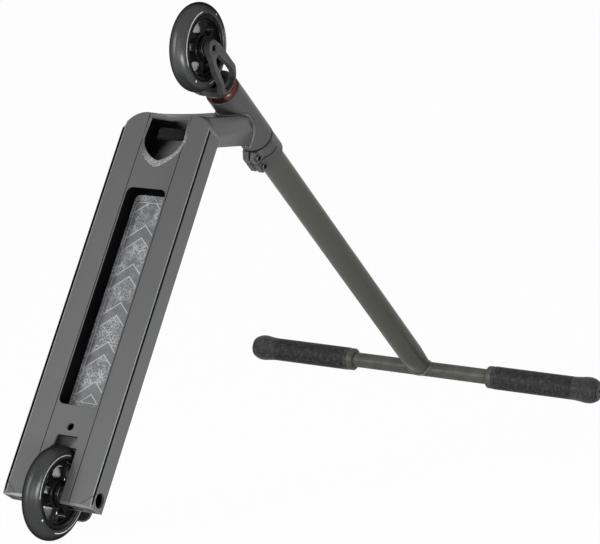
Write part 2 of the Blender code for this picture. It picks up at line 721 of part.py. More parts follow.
def make_headset():
    edge = EDGE_ROUND
    turned(
        "head_tube",
        [
            (HEAD_RADIUS - edge, HEAD_TOP),
            (HEAD_RADIUS, HEAD_TOP - edge),
            (HEAD_RADIUS, HEAD_BOTTOM + edge),
            (HEAD_RADIUS - edge, HEAD_BOTTOM),
            (CUP_RADIUS, HEAD_BOTTOM),
            (CUP_RADIUS, HEAD_BOTTOM + CUP_DEPTH),
            (HEAD_BORE, HEAD_BOTTOM + CUP_DEPTH),
            (HEAD_BORE, HEAD_TOP - CUP_DEPTH),
            (CUP_RADIUS, HEAD_TOP - CUP_DEPTH),
            (CUP_RADIUS, HEAD_TOP),
        ],
        head_axis,
        SATIN_GREY,
    )
    collar = STEERER_RADIUS + GAP + COLLAR_WALL
    race = (collar + GAP, CUP_RADIUS - GAP)
    tube("lower_bearing", *race, HEAD_BOTTOM + GAP, HEAD_BOTTOM + CUP_DEPTH - GAP, head_axis, STEEL, RING_ROUND)
    tube("upper_bearing", *race, HEAD_TOP - CUP_DEPTH + GAP, HEAD_TOP - GAP, head_axis, STEEL, RING_ROUND)
    turned(
        "crown_race",
        [
            (collar, HEAD_BOTTOM + CUP_DEPTH / 2),
            (collar, HEAD_BOTTOM - GAP),
            (RING_RADIUS - edge, HEAD_BOTTOM - GAP),
            (RING_RADIUS, HEAD_BOTTOM - GAP - edge),
            (CROWN_RADIUS, CROWN_TOP + GAP),
            (STEERER_RADIUS + GAP, CROWN_TOP + GAP),
            (STEERER_RADIUS + GAP, HEAD_BOTTOM + CUP_DEPTH / 2),
        ],
        steering_axis,
        COPPER,
        RING_ROUND,
    )
    turned(
        "headset_cap",
        [
            (HEAD_RADIUS - edge, CLAMP_BOTTOM - GAP),
            (HEAD_RADIUS, CLAMP_BOTTOM - GAP - edge),
            (HEAD_RADIUS, HEAD_TOP + GAP),
            (collar, HEAD_TOP + GAP),
            (collar, HEAD_TOP - CUP_DEPTH / 2),
            (STEERER_RADIUS + GAP, HEAD_TOP - CUP_DEPTH / 2),
            (STEERER_RADIUS + GAP, CLAMP_BOTTOM - GAP),
        ],
        steering_axis,
        BLACK_METAL,
        RING_ROUND,
    )


def make_fork():
    bore = STEERER_RADIUS - STEERER_WALL
    crown_bottom = CROWN_TOP - CROWN_HEIGHT
    edge = EDGE_ROUND
    fork = turned(
        "fork",
        [
            (0, STEERER_TOP),
            (STEERER_RADIUS - edge / 2, STEERER_TOP),
            (STEERER_RADIUS, STEERER_TOP - edge / 2),
            (STEERER_RADIUS, CROWN_TOP),
            (CROWN_RADIUS - 2 * edge, CROWN_TOP),
            (CROWN_RADIUS, CROWN_TOP - 2 * edge),
            (CROWN_RADIUS, CROWN_TOP - CROWN_FLANGE + edge),
            (COLUMN_RADIUS, CROWN_TOP - CROWN_FLANGE - edge),
            (COLUMN_RADIUS, crown_bottom),
            (0, crown_bottom),
        ],
        steering_axis,
        BLACK_METAL,
        RING_ROUND,
    )
    leg_outside = LEG_INSIDE + LEG_THICKNESS
    seat = leg_outside - AXLE_HEAD_HEIGHT
    boss = (FORK_OFFSET, 0)
    back = -CROWN_RADIUS
    front = CROWN_RADIUS + edge
    shoulder = CROWN_TOP - CROWN_HEIGHT
    outline = (
        [(back, CROWN_TOP - 4 * edge), (back - 2 * edge, shoulder - 6 * edge)]
        + [(back + 0.004, shoulder - 0.012), (back + 0.006, shoulder - 0.022)]
        + [(back + 0.009, shoulder - 0.036), (boss[0] - BOSS_RADIUS - 0.003, BOSS_RADIUS + 0.002)]
        + arc(boss, BOSS_RADIUS, math.pi, 2 * math.pi, 10)
        + [(front, BOSS_RADIUS), (front, shoulder - 2 * edge)]
        + [(front - 3 * edge, shoulder + 4 * edge), (front - 8 * edge, CROWN_TOP - 4 * edge)]
    )
    window = [
        (boss[0] + 0.0020, BOSS_RADIUS + 0.0040),
        (boss[0] + 0.0032, BOSS_RADIUS + 0.0190),
        (boss[0] + 0.0062, shoulder - 0.0135),
        (boss[0] + 0.0060, shoulder - 0.0030),
        (boss[0] + 0.0036, shoulder + 0.0040),
        (boss[0] - 0.0020, shoulder + 0.0066),
        (boss[0] - 0.0093, shoulder + 0.0068),
        (boss[0] - 0.0190, shoulder + 0.0035),
        (boss[0] - 0.0248, shoulder + 0.0005),
        (boss[0] - 0.0252, shoulder - 0.0030),
        (boss[0] - 0.0208, shoulder - 0.0060),
        (boss[0] - 0.0175, shoulder - 0.0140),
        (boss[0] - 0.0145, shoulder - 0.0250),
        (boss[0] - 0.0125, BOSS_RADIUS + 0.0135),
        (boss[0] - 0.0100, BOSS_RADIUS + 0.0060),
        (boss[0] - 0.0065, BOSS_RADIUS + 0.0028),
    ]
    hole = arc(boss, BOLT_RADIUS + AXLE_PLAY, 0, 2 * math.pi * 23 / 24, 23)
    inside = LEG_INSIDE - CUT
    for name, low, high in (("left", inside, leg_outside), ("right", -leg_outside, -inside)):
        join(fork, flat(f"fork_leg_{name}", outline, low, high, steering_axis, holes=(window, hole), plane="XZ"))
    bridge = [
        (back - edge, shoulder - 0.010),
        (back + edge, CROWN_TOP - 5 * edge),
        (BRIDGE_FRONT, CROWN_TOP - 5 * edge),
        (BRIDGE_FRONT, shoulder),
        (BRIDGE_FRONT - 4 * edge, shoulder - 4 * edge),
    ]
    join(fork, flat("fork_bridge", bridge, -leg_outside + edge, leg_outside - edge, steering_axis, plane="XZ"))
    arch = WHEEL_RADIUS + WHEEL_CLEARANCE
    far = 3 * CROWN_RADIUS
    step = CROWN_HEIGHT / 2
    shoulders = [
        (far, CROWN_TOP + step),
        (far, CROWN_TOP - 5 * step),
        (CROWN_RADIUS + 0.0150, CROWN_TOP - 5 * step),
        (CROWN_RADIUS + 0.0105, CROWN_TOP - 2.6 * step),
        (CROWN_RADIUS + 0.0065, CROWN_TOP - 1.4 * step),
        (CROWN_RADIUS + 0.0024, CROWN_TOP - 0.5 * step),
        (CROWN_RADIUS, CROWN_TOP - 0.1 * step),
        (CROWN_RADIUS, CROWN_TOP + step),
    ]
    cut(
        fork,
        turned("crown_shoulders", shoulders, steering_axis, steps=RING_ROUND),
        rod("steerer_bore", bore, shoulder - 0.03, STEERER_TOP + CUT, steering_axis, steps=RING_ROUND),
        rod("wheel_arch", arch, -LEG_INSIDE, LEG_INSIDE, front_axle, steps=ROUND),
        rod("front_bolt_seat", FRONT_HEAD_RADIUS + BOLT_SEAT_PLAY, seat, leg_outside + CUT, front_axle),
    )
    for side, sign in (("left", 1), ("right", -1)):
        low, high = sorted((sign * (WHEEL_WIDTH / 2 + GAP), sign * (LEG_INSIDE - GAP)))
        bore = BOLT_RADIUS + GAP / 2
        tube(f"front_spacer_{side}", bore, AXLE_SPACER_RADIUS, low, high, front_axle, STEEL, SMALL_ROUND)
    cap_bolt(
        "front_axle_bolt",
        BOLT_RADIUS - GAP / 2,
        FRONT_HEAD_RADIUS,
        AXLE_HEAD_HEIGHT,
        leg_outside + seat + AXLE_NUT_GRIP,
        front_axle,
        BLACK_STEEL,
        AXLE_SOCKET,
        location=(0, 0, seat + GAP),
    )
    nut(
        "front_axle_nut",
        BOLT_RADIUS + GAP,
        AXLE_NUT,
        AXLE_NUT_HEIGHT,
        front_axle,
        BLACK_STEEL,
        location=(0, 0, -leg_outside - GAP),
        rotation=(math.pi, 0, 0),
    )


def make_clamp():
    slit = CLAMP_SLIT / 2
    ear = CLAMP_EAR_HALF_WIDTH
    bore = TUBE_RADIUS + GAP
    leave = math.radians(122)
    ring = arc((0, 0), CLAMP_RADIUS, -leave, leave, 22)
    root = -CLAMP_BOLT_BACK + CLAMP_BOLT_HEAD + GAP + CUT
    end = -CLAMP_EAR + 2 * EDGE_ROUND
    side = ear - 2 * EDGE_ROUND
    outline = ring + [(root, ear), (end, ear), (-CLAMP_EAR, side), (-CLAMP_EAR, -side), (end, -ear), (root, -ear)]
    holder = empty("clamp_turn", steering_axis, rotation=(0, 0, CLAMP_TURN))
    clamp = flat("clamp", outline, CLAMP_BOTTOM, CLAMP_TOP, holder, BLACK_METAL)
    far = CLAMP_EAR + 5 * CUT
    chamfer = [
        (-far, CLAMP_BOTTOM - CUT),
        (-CLAMP_EAR + CLAMP_CHAMFER + CUT, CLAMP_BOTTOM - CUT),
        (-CLAMP_EAR - CUT, CLAMP_BOTTOM + CLAMP_CHAMFER),
        (-far, CLAMP_BOTTOM + CLAMP_CHAMFER),
    ]
    cut(
        clamp,
        rod("clamp_bore", bore, CLAMP_BOTTOM - CUT, CLAMP_TOP + CUT, holder, steps=ROUND),
        box("clamp_slit", (-far, -slit, CLAMP_BOTTOM - CUT), (0, slit, CLAMP_TOP + CUT), holder),
        box(
            "clamp_relief",
            (-far, -CLAMP_RADIUS - CUT, CLAMP_MIDDLE - 0.001),
            (CLAMP_RELIEF, CLAMP_RADIUS + CUT, CLAMP_MIDDLE + 0.001),
            holder,
        ),
        flat("clamp_chamfer", chamfer, -CLAMP_RADIUS, CLAMP_RADIUS, holder, plane="XZ"),
    )
    seat = ear - CLAMP_BOLT_HEAD * 0.8
    for index, step in enumerate((-0.5, 0.5), 1):
        height = CLAMP_MIDDLE + step * CLAMP_BOLT_PITCH
        centre = (-CLAMP_BOLT_BACK, 0, height)
        stepped = [
            (0, ear + CUT),
            (CLAMP_BOLT_HEAD + GAP, ear + CUT),
            (CLAMP_BOLT_HEAD + GAP, seat),
            (CLAMP_BOLT_RADIUS + GAP, seat),
            (CLAMP_BOLT_RADIUS + GAP, -ear - CUT),
            (0, -ear - CUT),
        ]
        hole = f"clamp_bolt_hole_{index}"
        cut(clamp, turned(hole, stepped, holder, steps=SMALL_ROUND, location=centre, rotation=ACROSS))
        cap_bolt(
            f"clamp_bolt_{index}",
            CLAMP_BOLT_RADIUS,
            CLAMP_BOLT_HEAD,
            CLAMP_BOLT_HEAD,
            seat + ear - CUT,
            holder,
            BLACK_STEEL,
            CLAMP_BOLT_SOCKET,
            location=(-CLAMP_BOLT_BACK, seat + GAP, height),
            rotation=ACROSS,
        )


def make_bars():
    inner = TUBE_RADIUS - TUBE_WALL
    foot = CLAMP_BOTTOM + GAP
    top = BAR_HEIGHT - 0.003
    taper = top - TUBE_TAPER

    def section(height, ahead, left):
        return [
            (ahead * math.cos(a), left * math.sin(a), height)
            for a in (2 * math.pi * i / ROUND for i in range(ROUND))
        ]

    def sections(radius, low, high):
        flat_ahead = CROSSBAR_RADIUS + 0.0012 - (TUBE_RADIUS - radius)
        rings = [section(low, radius, radius), section(taper, radius, radius)]
        for share in (0.33, 0.66, 1.0):
            ease = share * share * (3 - 2 * share)
            rings.append(
                section(
                    taper + (high - taper) * share,
                    radius + (flat_ahead - radius) * ease,
                    radius + 0.0015 * ease,
                )
            )
        return rings

    down = loft("down_tube", sections(TUBE_RADIUS, foot, top), steering_axis, BAR_GREY)
    slit = CLAMP_SLIT / 2
    cut(
        down,
        loft("down_tube_bore", sections(inner, foot - CUT, top + CUT), steering_axis),
        rod(
            "down_tube_saddle",
            CROSSBAR_RADIUS + GAP,
            -2 * TUBE_RADIUS,
            2 * TUBE_RADIUS,
            bar_axis,
            steps=ROUND,
        ),
        box("down_tube_slit", (-TUBE_RADIUS - CUT, -slit, foot - CUT), (0, slit, CLAMP_TOP - 0.002), steering_axis),
    )
    half = BAR_WIDTH / 2
    reach = half - CROSSBAR_SHORT
    bar_bore = CROSSBAR_RADIUS - CROSSBAR_WALL
    tube("crossbar", bar_bore, CROSSBAR_RADIUS, -reach, reach, bar_axis, BAR_GREY, RING_ROUND)
    for side, sign in (("left", 1), ("right", -1)):
        end = half
        root = end - GRIP_LENGTH
        tip = end - GRIP_END
        flange = tip - GRIP_END_ROUND
        flare = flange - GRIP_FLANGE_LENGTH - GRIP_FLARE
        ring_radius = GRIP_RADIUS - GRIP_RING_STEP
        bore = CROSSBAR_RADIUS + GAP
        turn = (-sign * math.pi / 2, 0, 0)
        turned(
            f"grip_{side}",
            [
                (GRIP_FLANGE_RADIUS - 0.0050, tip),
                (GRIP_FLANGE_RADIUS - 0.0024, tip - 0.3 * GRIP_END_ROUND),
                (GRIP_FLANGE_RADIUS - 0.0007, tip - 0.65 * GRIP_END_ROUND),
                (GRIP_FLANGE_RADIUS, flange),
                (GRIP_FLANGE_RADIUS, flange - GRIP_FLANGE_LENGTH),
                (GRIP_FLANGE_RADIUS - 0.0008, flare + 0.7 * GRIP_FLARE),
                (GRIP_RADIUS + 0.0005, flare + 0.35 * GRIP_FLARE),
                (GRIP_RADIUS, flare),
                (GRIP_RADIUS, root + GRIP_RING_LENGTH + 0.0010),
                (GRIP_RADIUS - 0.0010, root + GRIP_RING_LENGTH),
                (bore, root + GRIP_RING_LENGTH),
                (bore, tip),
            ],
            steering_axis,
            RUBBER,
            RING_ROUND,
            location=(0, 0, BAR_HEIGHT),
            rotation=turn,
        )
        turned(
            f"grip_ring_{side}",
            [
                (ring_radius, root + GRIP_RING_LENGTH - GAP),
                (ring_radius, root + 0.0025),
                (CROSSBAR_RADIUS + 0.002, root),
                (bore, root),
                (bore, root + GRIP_RING_LENGTH - GAP),
            ],
            steering_axis,
            BAR_GREY,
            RING_ROUND,
            location=(0, 0, BAR_HEIGHT),
            rotation=turn,
        )
        turned(
            f"bar_end_{side}",
            [
                (BAR_END_RADIUS - 0.001, end),
                (BAR_END_RADIUS, end - 0.001),
                (BAR_END_RADIUS, tip + GAP),
                (bar_bore - GAP, tip + GAP),
                (bar_bore - GAP, end - BAR_END_DEPTH),
                (BAR_END_BORE, end - BAR_END_DEPTH),
                (BAR_END_BORE, end - 0.004),
                (BAR_END_HOLE, end - 0.004),
                (BAR_END_HOLE, end),
            ],
            steering_axis,
            NYLON,
            SMALL_ROUND,
            location=(0, 0, BAR_HEIGHT),
            rotation=turn,
        )


def make_compression():
    shim_inside = STEERER_RADIUS + GAP
    shim_outside = TUBE_RADIUS - TUBE_WALL - GAP
    shim_top = STEERER_TOP + SHIM_RISE
    tube("shim", shim_inside, shim_outside, CLAMP_BOTTOM + GAP, shim_top, steering_axis, STEEL, SMALL_ROUND)
    bore = COMPRESSION_BOLT_RADIUS + GAP
    cap_low = shim_top + GAP
    cap_top = cap_low + COMPRESSION_CAP_HEIGHT
    tube("compression_cap", bore, shim_outside, cap_low, cap_top, steering_axis, BLACK_METAL, SMALL_ROUND)
    cap_bolt(
        "compression_bolt",
        COMPRESSION_BOLT_RADIUS,
        COMPRESSION_HEAD,
        COMPRESSION_HEAD,
        COMPRESSION_BOLT_LENGTH,
        steering_axis,
        BLACK_STEEL,
        AXLE_SOCKET,
        location=(0, 0, cap_top + GAP),
    )
    star_top = shim_top - STAR_NUT_DEPTH
    star_outside = STEERER_RADIUS - STEERER_WALL - GAP
    tube("star_nut", bore, star_outside, star_top - STAR_NUT_HEIGHT, star_top, steering_axis, STEEL, SMALL_ROUND)


def make_wheel(name, axle, turn):
    half = WHEEL_WIDTH / 2
    seat = CORE_RADIUS + GAP
    ridge = RIDGE_WIDTH / 2
    shoulder = half - 0.0010
    tread = [(radius, height) for height, radius in arc((0, WHEEL_RADIUS - half), half, 0, math.pi, 8)]
    turned(
        f"{name}_tyre",
        tread
        + [
            (seat + 0.0008, -half),
            (seat, -shoulder),
            (seat, -ridge - GAP),
            (seat + RIDGE_HEIGHT, -ridge - GAP + 0.0005),
            (seat + RIDGE_HEIGHT, ridge + GAP - 0.0005),
            (seat, ridge + GAP),
            (seat, shoulder),
            (seat + 0.0008, half),
        ],
        axle,
        TYRE,
        ROUND,
    )
    rim_half = CORE_WIDTH / 2
    web = SPOKE_WIDTH / 2
    rim_inside = CORE_RADIUS - RIM_THICKNESS
    bearing_seat = BEARING_DIAMETER / 2 + GAP / 2
    spacer_outside = BOLT_RADIUS + AXLE_PLAY + BEARING_SPACER_WALL
    bore = spacer_outside + AXLE_PLAY + 0.001
    depth = half - BEARING_WIDTH
    lower = [
        (CORE_RADIUS, -rim_half),
        (rim_inside, -rim_half),
        (rim_inside - 0.0015, -web),
        (HUB_RADIUS, -web),
        (HUB_RADIUS - 0.0005, -half),
        (bearing_seat, -half),
        (bearing_seat, -depth),
        (bore, -depth),
    ]
    outer = [
        (CORE_RADIUS, rim_half),
        (CORE_RADIUS, ridge),
        (CORE_RADIUS + RIDGE_HEIGHT, ridge - 0.0005),
        (CORE_RADIUS + RIDGE_HEIGHT, -ridge + 0.0005),
        (CORE_RADIUS, -ridge),
    ]
    core = turned(
        f"{name}_core",
        outer + lower + [(radius, -height) for radius, height in reversed(lower[1:])],
        axle,
        BLACK_METAL,
        ROUND,
    )
    low = HUB_RADIUS + 0.0025
    high = rim_inside - 0.0025
    pitch = 2 * math.pi / WINDOW_COUNT
    windows = []
    for index in range(WINDOW_COUNT):
        middle = -turn + index * pitch
        wide = WINDOW_ANGLE / 2
        narrow = wide * 0.72
        inset = 0.12
        loop = arc((0, 0), high, middle - wide * (1 - inset), middle + wide * (1 - inset), 4)
        loop += arc((0, 0), high - 0.003, middle + wide, middle + wide, 1)[:1]
        loop += arc((0, 0), low + 0.003, middle + narrow, middle + narrow, 1)[:1]
        loop += arc((0, 0), low, middle + narrow * 0.7, middle - narrow * 0.7, 2)
        loop += arc((0, 0), low + 0.003, middle - narrow, middle - narrow, 1)[:1]
        loop += arc((0, 0), high - 0.003, middle - wide, middle - wide, 1)[:1]
        windows.append(loop)
    cut(core, flat(f"{name}_windows", windows[0], -half, half, axle, holes=windows[1:]))
    for side, sign in (("left", 1), ("right", -1)):
        groove = BEARING_GROOVE
        inner = BOLT_RADIUS + GAP
        outside = BEARING_DIAMETER / 2 - GAP / 2
        turned(
            f"{name}_bearing_{side}",
            [
                (outside, half),
                (outside, depth + GAP),
                (inner, depth + GAP),
                (inner, half),
                (inner + BEARING_SHOULDER, half),
                (inner + BEARING_SHOULDER, half - groove),
                (outside - BEARING_SHOULDER, half - groove),
                (outside - BEARING_SHOULDER, half),
            ],
            axle,
            STEEL,
            SMALL_ROUND,
            rotation=(0, 0, 0) if sign > 0 else (math.pi, 0, 0),
        )
    tube(f"{name}_bearing_spacer", BOLT_RADIUS + GAP, spacer_outside, -depth, depth, axle, STEEL, SMALL_ROUND)


def make_rear_axle():
    start = WHEEL_WIDTH / 2 + GAP
    for side, sign in (("left", 1), ("right", -1)):
        low, high = sorted((sign * start, sign * (WEB_INSIDE - GAP)))
        bore = BOLT_RADIUS + GAP / 2
        tube(f"rear_spacer_{side}", bore, AXLE_SPACER_RADIUS, low, high, rear_axle, STEEL, SMALL_ROUND)
    cap_bolt(
        "rear_axle_bolt",
        BOLT_RADIUS - GAP / 2,
        REAR_HEAD_RADIUS,
        AXLE_HEAD_HEIGHT,
        2 * WEB_OUTSIDE + AXLE_NUT_GRIP,
        rear_axle,
        BLACK_STEEL,
        AXLE_SOCKET,
        location=(0, 0, WEB_OUTSIDE + GAP),
    )
    nut(
        "rear_axle_nut",
        BOLT_RADIUS + GAP,
        AXLE_NUT,
        AXLE_NUT_HEIGHT,
        rear_axle,
        BLACK_STEEL,
        location=(0, 0, -WEB_OUTSIDE - GAP),
        rotation=(math.pi, 0, 0),
    )


def make_trim():
    low = CHANNEL_ROOF - GAP - INSERT_THICKNESS
    margin = INSERT_MARGIN
    insert = rounded(
        POCKET_REAR + margin,
        POCKET_FRONT - margin,
        -POCKET_HALF_WIDTH + margin,
        POCKET_HALF_WIDTH - margin,
        POCKET_CORNER - margin,
        5,
    )
    flat("pocket_insert", insert, low, low + INSERT_THICKNESS, scooter, PRINT)

    wide = DECK_HALF - TAPE_MARGIN
    front = NECK_REAR - TAPE_MARGIN
    notch = SLOT_HALF_WIDTH + TAPE_MARGIN
    rear = -DECK_TAIL + TAPE_MARGIN
    leaf = LEAF_FRONT + TAPE_MARGIN
    tape = [(rear, notch), (rear, wide), (front, wide), (front, -wide), (rear, -wide)]
    tape += [(rear, -notch), (leaf, -notch), (leaf, notch)]
    flat("grip_tape", tape, DECK_TOP + GAP, DECK_TOP + GAP + TAPE_THICKNESS, scooter, TAPE)

    for side, sign in (("left", 1), ("right", -1)):
        inner, outer = sorted((sign * (WEB_OUTSIDE + GAP), sign * (DECK_HALF - DECK_WALL - GAP)))
        box(
            f"tail_plug_{side}",
            (-DECK_TAIL + GAP, inner, CHANNEL_FLOOR + GAP),
            (-DECK_TAIL + PLUG_THICKNESS, outer, CHANNEL_ROOF - GAP),
            scooter,
            NYLON,
        )


def make_brake():
    inner = WHEEL_RADIUS + BRAKE_CLEARANCE
    outer = inner + BRAKE_THICKNESS
    low = DECK_TOP + GAP
    rear = SLOT_FRONT + GAP * 3
    hole = [(BRAKE_BOLT + x, y) for x, y in arc((0, 0), BRAKE_BOLT_RADIUS + GAP, 0, 2 * math.pi * 15 / 16, 15)]
    leaf = rounded(rear, LEAF_FRONT, -LEAF_HALF_WIDTH, LEAF_HALF_WIDTH, 0.003, 3)
    flat("brake_leaf", leaf, low, low + LEAF_THICKNESS, scooter, STEEL, holes=(hole,))
    sole = low + LEAF_THICKNESS + BRAKE_FOOT_CLEARANCE
    instep = sole + BRAKE_FOOT_HEIGHT
    outline = arc((0, 0), inner, math.asin(sole / inner), BRAKE_REACH, 14)
    outline += arc((0, 0), outer, BRAKE_REACH, math.asin(instep / outer), 14)
    half_height = BRAKE_FOOT_HEIGHT / 2
    outline += [(BRAKE_FOOT - half_height, instep), (BRAKE_FOOT, sole + half_height), (BRAKE_FOOT, sole)]
    fender = flat(
        "brake_fender",
        outline,
        -BRAKE_HALF_WIDTH,
        BRAKE_HALF_WIDTH,
        scooter,
        NYLON,
        plane="XZ",
    )
    end = outer * math.cos(BRAKE_REACH)
    for side, sign in (("left", 1), ("right", -1)):
        centre = (end + BRAKE_CORNER, BRAKE_HALF_WIDTH - BRAKE_CORNER)
        reach = BRAKE_CORNER + CUT
        corner = [(centre[0], centre[1] + reach), (centre[0] - reach, centre[1] + reach)]
        corner += [(centre[0] - reach, centre[1])] + arc(centre, BRAKE_CORNER, math.pi, math.pi / 2, 5)
        corner = [(x, sign * y) for x, y in corner]
        cut(fender, flat(f"brake_corner_{side}", corner, 0, outer + CUT, scooter))
    cap_bolt(
        "brake_bolt",
        BRAKE_BOLT_RADIUS,
        BRAKE_BOLT_HEAD,
        BRAKE_BOLT_HEAD,
        DECK_SKIN + LEAF_THICKNESS + 3 * GAP + BRAKE_BOLT_GRIP,
        scooter,
        BLACK_STEEL,
        BRAKE_BOLT_SOCKET,
        location=(BRAKE_BOLT, 0, CHANNEL_ROOF - GAP),
        rotation=(math.pi, 0, 0),
    )
    nut(
        "brake_nut",
        BRAKE_BOLT_RADIUS + GAP,
        BRAKE_NUT,
        BRAKE_NUT_HEIGHT,
        scooter,
        STEEL,
        location=(BRAKE_BOLT, 0, low + LEAF_THICKNESS + GAP),
    )
    return fender


make_deck()
make_neck()
make_headset()
make_trim()
make_rear_axle()
make_brake()
make_wheel("rear", rear_axle, REAR_WHEEL_TURN)
make_wheel("front", front_axle, FRONT_WHEEL_TURN)
make_fork()
make_clamp()
make_compression()
make_bars()

bpy.context.view_layer.update()
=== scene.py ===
"""The looks of the parked stunt scooter.

Pieces are modelled in the frame that a rider would use: X forward, Y to the left, Z up, from the rear axle. Each
one is then turned over into the parked stance, with its place in its mesh.
"""

import math
from functools import partial

import bmesh
import bpy
from mathutils import Euler, Matrix, Vector


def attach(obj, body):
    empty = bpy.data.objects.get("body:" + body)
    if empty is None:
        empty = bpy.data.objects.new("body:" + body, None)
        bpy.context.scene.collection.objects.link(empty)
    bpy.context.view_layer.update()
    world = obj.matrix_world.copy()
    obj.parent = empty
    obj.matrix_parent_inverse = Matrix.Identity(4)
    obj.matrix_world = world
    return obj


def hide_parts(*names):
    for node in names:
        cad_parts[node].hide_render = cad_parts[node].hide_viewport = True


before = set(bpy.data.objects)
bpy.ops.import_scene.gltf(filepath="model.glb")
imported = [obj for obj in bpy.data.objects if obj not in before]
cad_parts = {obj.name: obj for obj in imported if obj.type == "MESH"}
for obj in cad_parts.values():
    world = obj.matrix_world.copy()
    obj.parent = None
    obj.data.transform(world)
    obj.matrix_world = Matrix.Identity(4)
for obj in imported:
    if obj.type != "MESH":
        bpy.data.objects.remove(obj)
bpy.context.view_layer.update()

# Sizes in metres, as in the part.
CUT = 0.001
WHEELBASE = 0.575
WHEEL_RADIUS = 0.055
WHEEL_HALF = 0.012
CORE_RADIUS = 0.0403
DECK_BOTTOM = -0.0105
DECK_TOP = 0.013
DECK_TAIL = -0.0125
DECK_FRONT = 0.479
DECK_HALF = 0.0625
DECK_CORNER = 0.029
CHANNEL_FLOOR = DECK_BOTTOM + 0.003
CHANNEL_ROOF = DECK_TOP - 0.0023
WEB_INSIDE = 0.0283
WEB_OUTSIDE = 0.0313
STEER_ANGLE = math.radians(83)
FORK_OFFSET = 0.008
CROWN_TOP = 0.0715
HEAD_BOTTOM = 0.0795
HEAD_TOP = 0.1845
HEAD_RADIUS = 0.0225
CLAMP_BOTTOM = 0.1885
CLAMP_TOP = 0.222
BAR_HEIGHT = 0.808
BAR_HALF = 0.2825
TUBE_RADIUS = 0.01745
BAR_RADIUS = 0.0111
GRIP_RADIUS = 0.0168
FLANGE_RADIUS = 0.0188
GRIP_LENGTH = 0.174
GAP = 0.0003  # between pieces that fit together
NECK_REAR = DECK_FRONT - 0.0284
MOUTH_FRONT = DECK_FRONT - 0.0075
MOUTH_DEEP = 0.03
FACET = (0.0173, 0.0211)  # length and width of the deck's corners at the tail
SLOT_HALF = 0.01775
NOTCH_HALF = 0.0155
BRAKE_BOLT = 0.0775
LEAF = 0.0015
CLAMP_BOLT = -0.0245
CLAMP_HEAD = 0.0046

STEER_UP = Vector((-math.cos(STEER_ANGLE), 0, math.sin(STEER_ANGLE)))
STEER_AHEAD = Vector((math.sin(STEER_ANGLE), 0, math.cos(STEER_ANGLE)))
STEER_FOOT = Vector((WHEELBASE, 0, 0)) - FORK_OFFSET * STEER_AHEAD
BAR_CENTRE = STEER_FOOT + BAR_HEIGHT * STEER_UP
DROP = math.asin((WHEEL_RADIUS - FLANGE_RADIUS) / BAR_CENTRE.length)
LEAN = math.atan2(BAR_CENTRE.z, BAR_CENTRE.x) - DROP
REACH = BAR_CENTRE.x * math.cos(LEAN) + BAR_CENTRE.z * math.sin(LEAN)

PARKED = Matrix.Translation(((WHEEL_RADIUS - REACH - FLANGE_RADIUS) / 2, 0, WHEEL_RADIUS))
PARKED = PARKED @ Euler((math.pi, -LEAN, 0)).to_matrix().to_4x4()
ACROSS = Matrix.Rotation(-math.pi / 2, 4, "X")  # local Z to the rider's left
UPRIGHT = Matrix(((1, 0, 0, 0), (0, 0, -1, 0), (0, 1, 0, 0), (0, 0, 0, 1)))  # a plate's Y becomes Z
ENDWAYS = Matrix(((0, 0, 1, 0), (1, 0, 0, 0), (0, 1, 0, 0), (0, 0, 0, 1)))  # a plate's X, Y become Y, Z
STEERING = PARKED @ Matrix.Translation(STEER_FOOT) @ Matrix.Rotation(STEER_ANGLE - math.pi / 2, 4, "Y")
FRONT_AXLE = STEERING @ Matrix.Translation((FORK_OFFSET, 0, 0)) @ ACROSS
REAR_AXLE = PARKED @ ACROSS
BAR = STEERING @ Matrix.Translation((0, 0, BAR_HEIGHT)) @ ACROSS
HERE = Matrix.Identity(4)


# Modelling, with nothing else selected.
def nothing_selected():
    if bpy.context.mode != "OBJECT":
        bpy.ops.object.mode_set(mode="OBJECT")
    bpy.ops.object.select_all(action="DESELECT")


def only(piece, edit=False):
    """This piece alone selected and active, and all of it open for editing where that is asked."""
    nothing_selected()
    piece.select_set(True)
    bpy.context.view_layer.objects.active = piece
    if edit:
        bpy.ops.object.mode_set(mode="EDIT")
        bpy.ops.mesh.select_all(action="SELECT")
    return piece


def closed_up(piece):
    bpy.ops.mesh.select_all(action="SELECT")
    bpy.ops.mesh.remove_doubles(threshold=0.000001)
    bpy.ops.mesh.normals_make_consistent(inside=False)
    bpy.ops.object.mode_set(mode="OBJECT")
    return piece


def ring_piece(name, profile, steps=96, hollow=False):
    """A ring or disc, raised and widened along a profile of (radius, height). A hollow one ends where it began."""
    nothing_selected()
    radius, height = profile[0]
    fill = "NOTHING" if hollow else "NGON"
    bpy.ops.mesh.primitive_circle_add(vertices=steps, radius=radius, fill_type=fill, location=(0, 0, height))
    piece = bpy.context.object
    piece.name = name
    bpy.ops.object.transform_apply()
    only(piece, edit=True)
    for next_radius, next_height in list(profile[1:]) + (list(profile[:1]) if hollow else []):
        bpy.ops.mesh.extrude_region_move(TRANSFORM_OT_translate={"value": (0, 0, next_height - height)})
        ratio = next_radius / radius
        bpy.ops.transform.resize(value=(ratio, ratio, 1), center_override=(0, 0, next_height))
        radius, height = next_radius, next_height
    return closed_up(piece)


def laid_out(name, points):
    """A filled ring with its points along an outline, open for editing."""
    nothing_selected()
    bpy.ops.mesh.primitive_circle_add(vertices=len(points), radius=1, fill_type="NGON")
    piece = bpy.context.object
    piece.name = name
    for vertex, point in zip(piece.data.vertices, points):
        vertex.co = point
    return only(piece, edit=True)


def sheet_of(outline, height):
    return [(x, y, height) for x, y in outline]


def plate_piece(name, outline, low, high, turn=HERE):
    """An outline, filled and raised."""
    piece = laid_out(name, sheet_of(outline, low))
    bpy.ops.mesh.extrude_region_move(TRANSFORM_OT_translate={"value": (0, 0, high - low)})
    closed_up(piece)
    piece.data.transform(turn)
    return piece


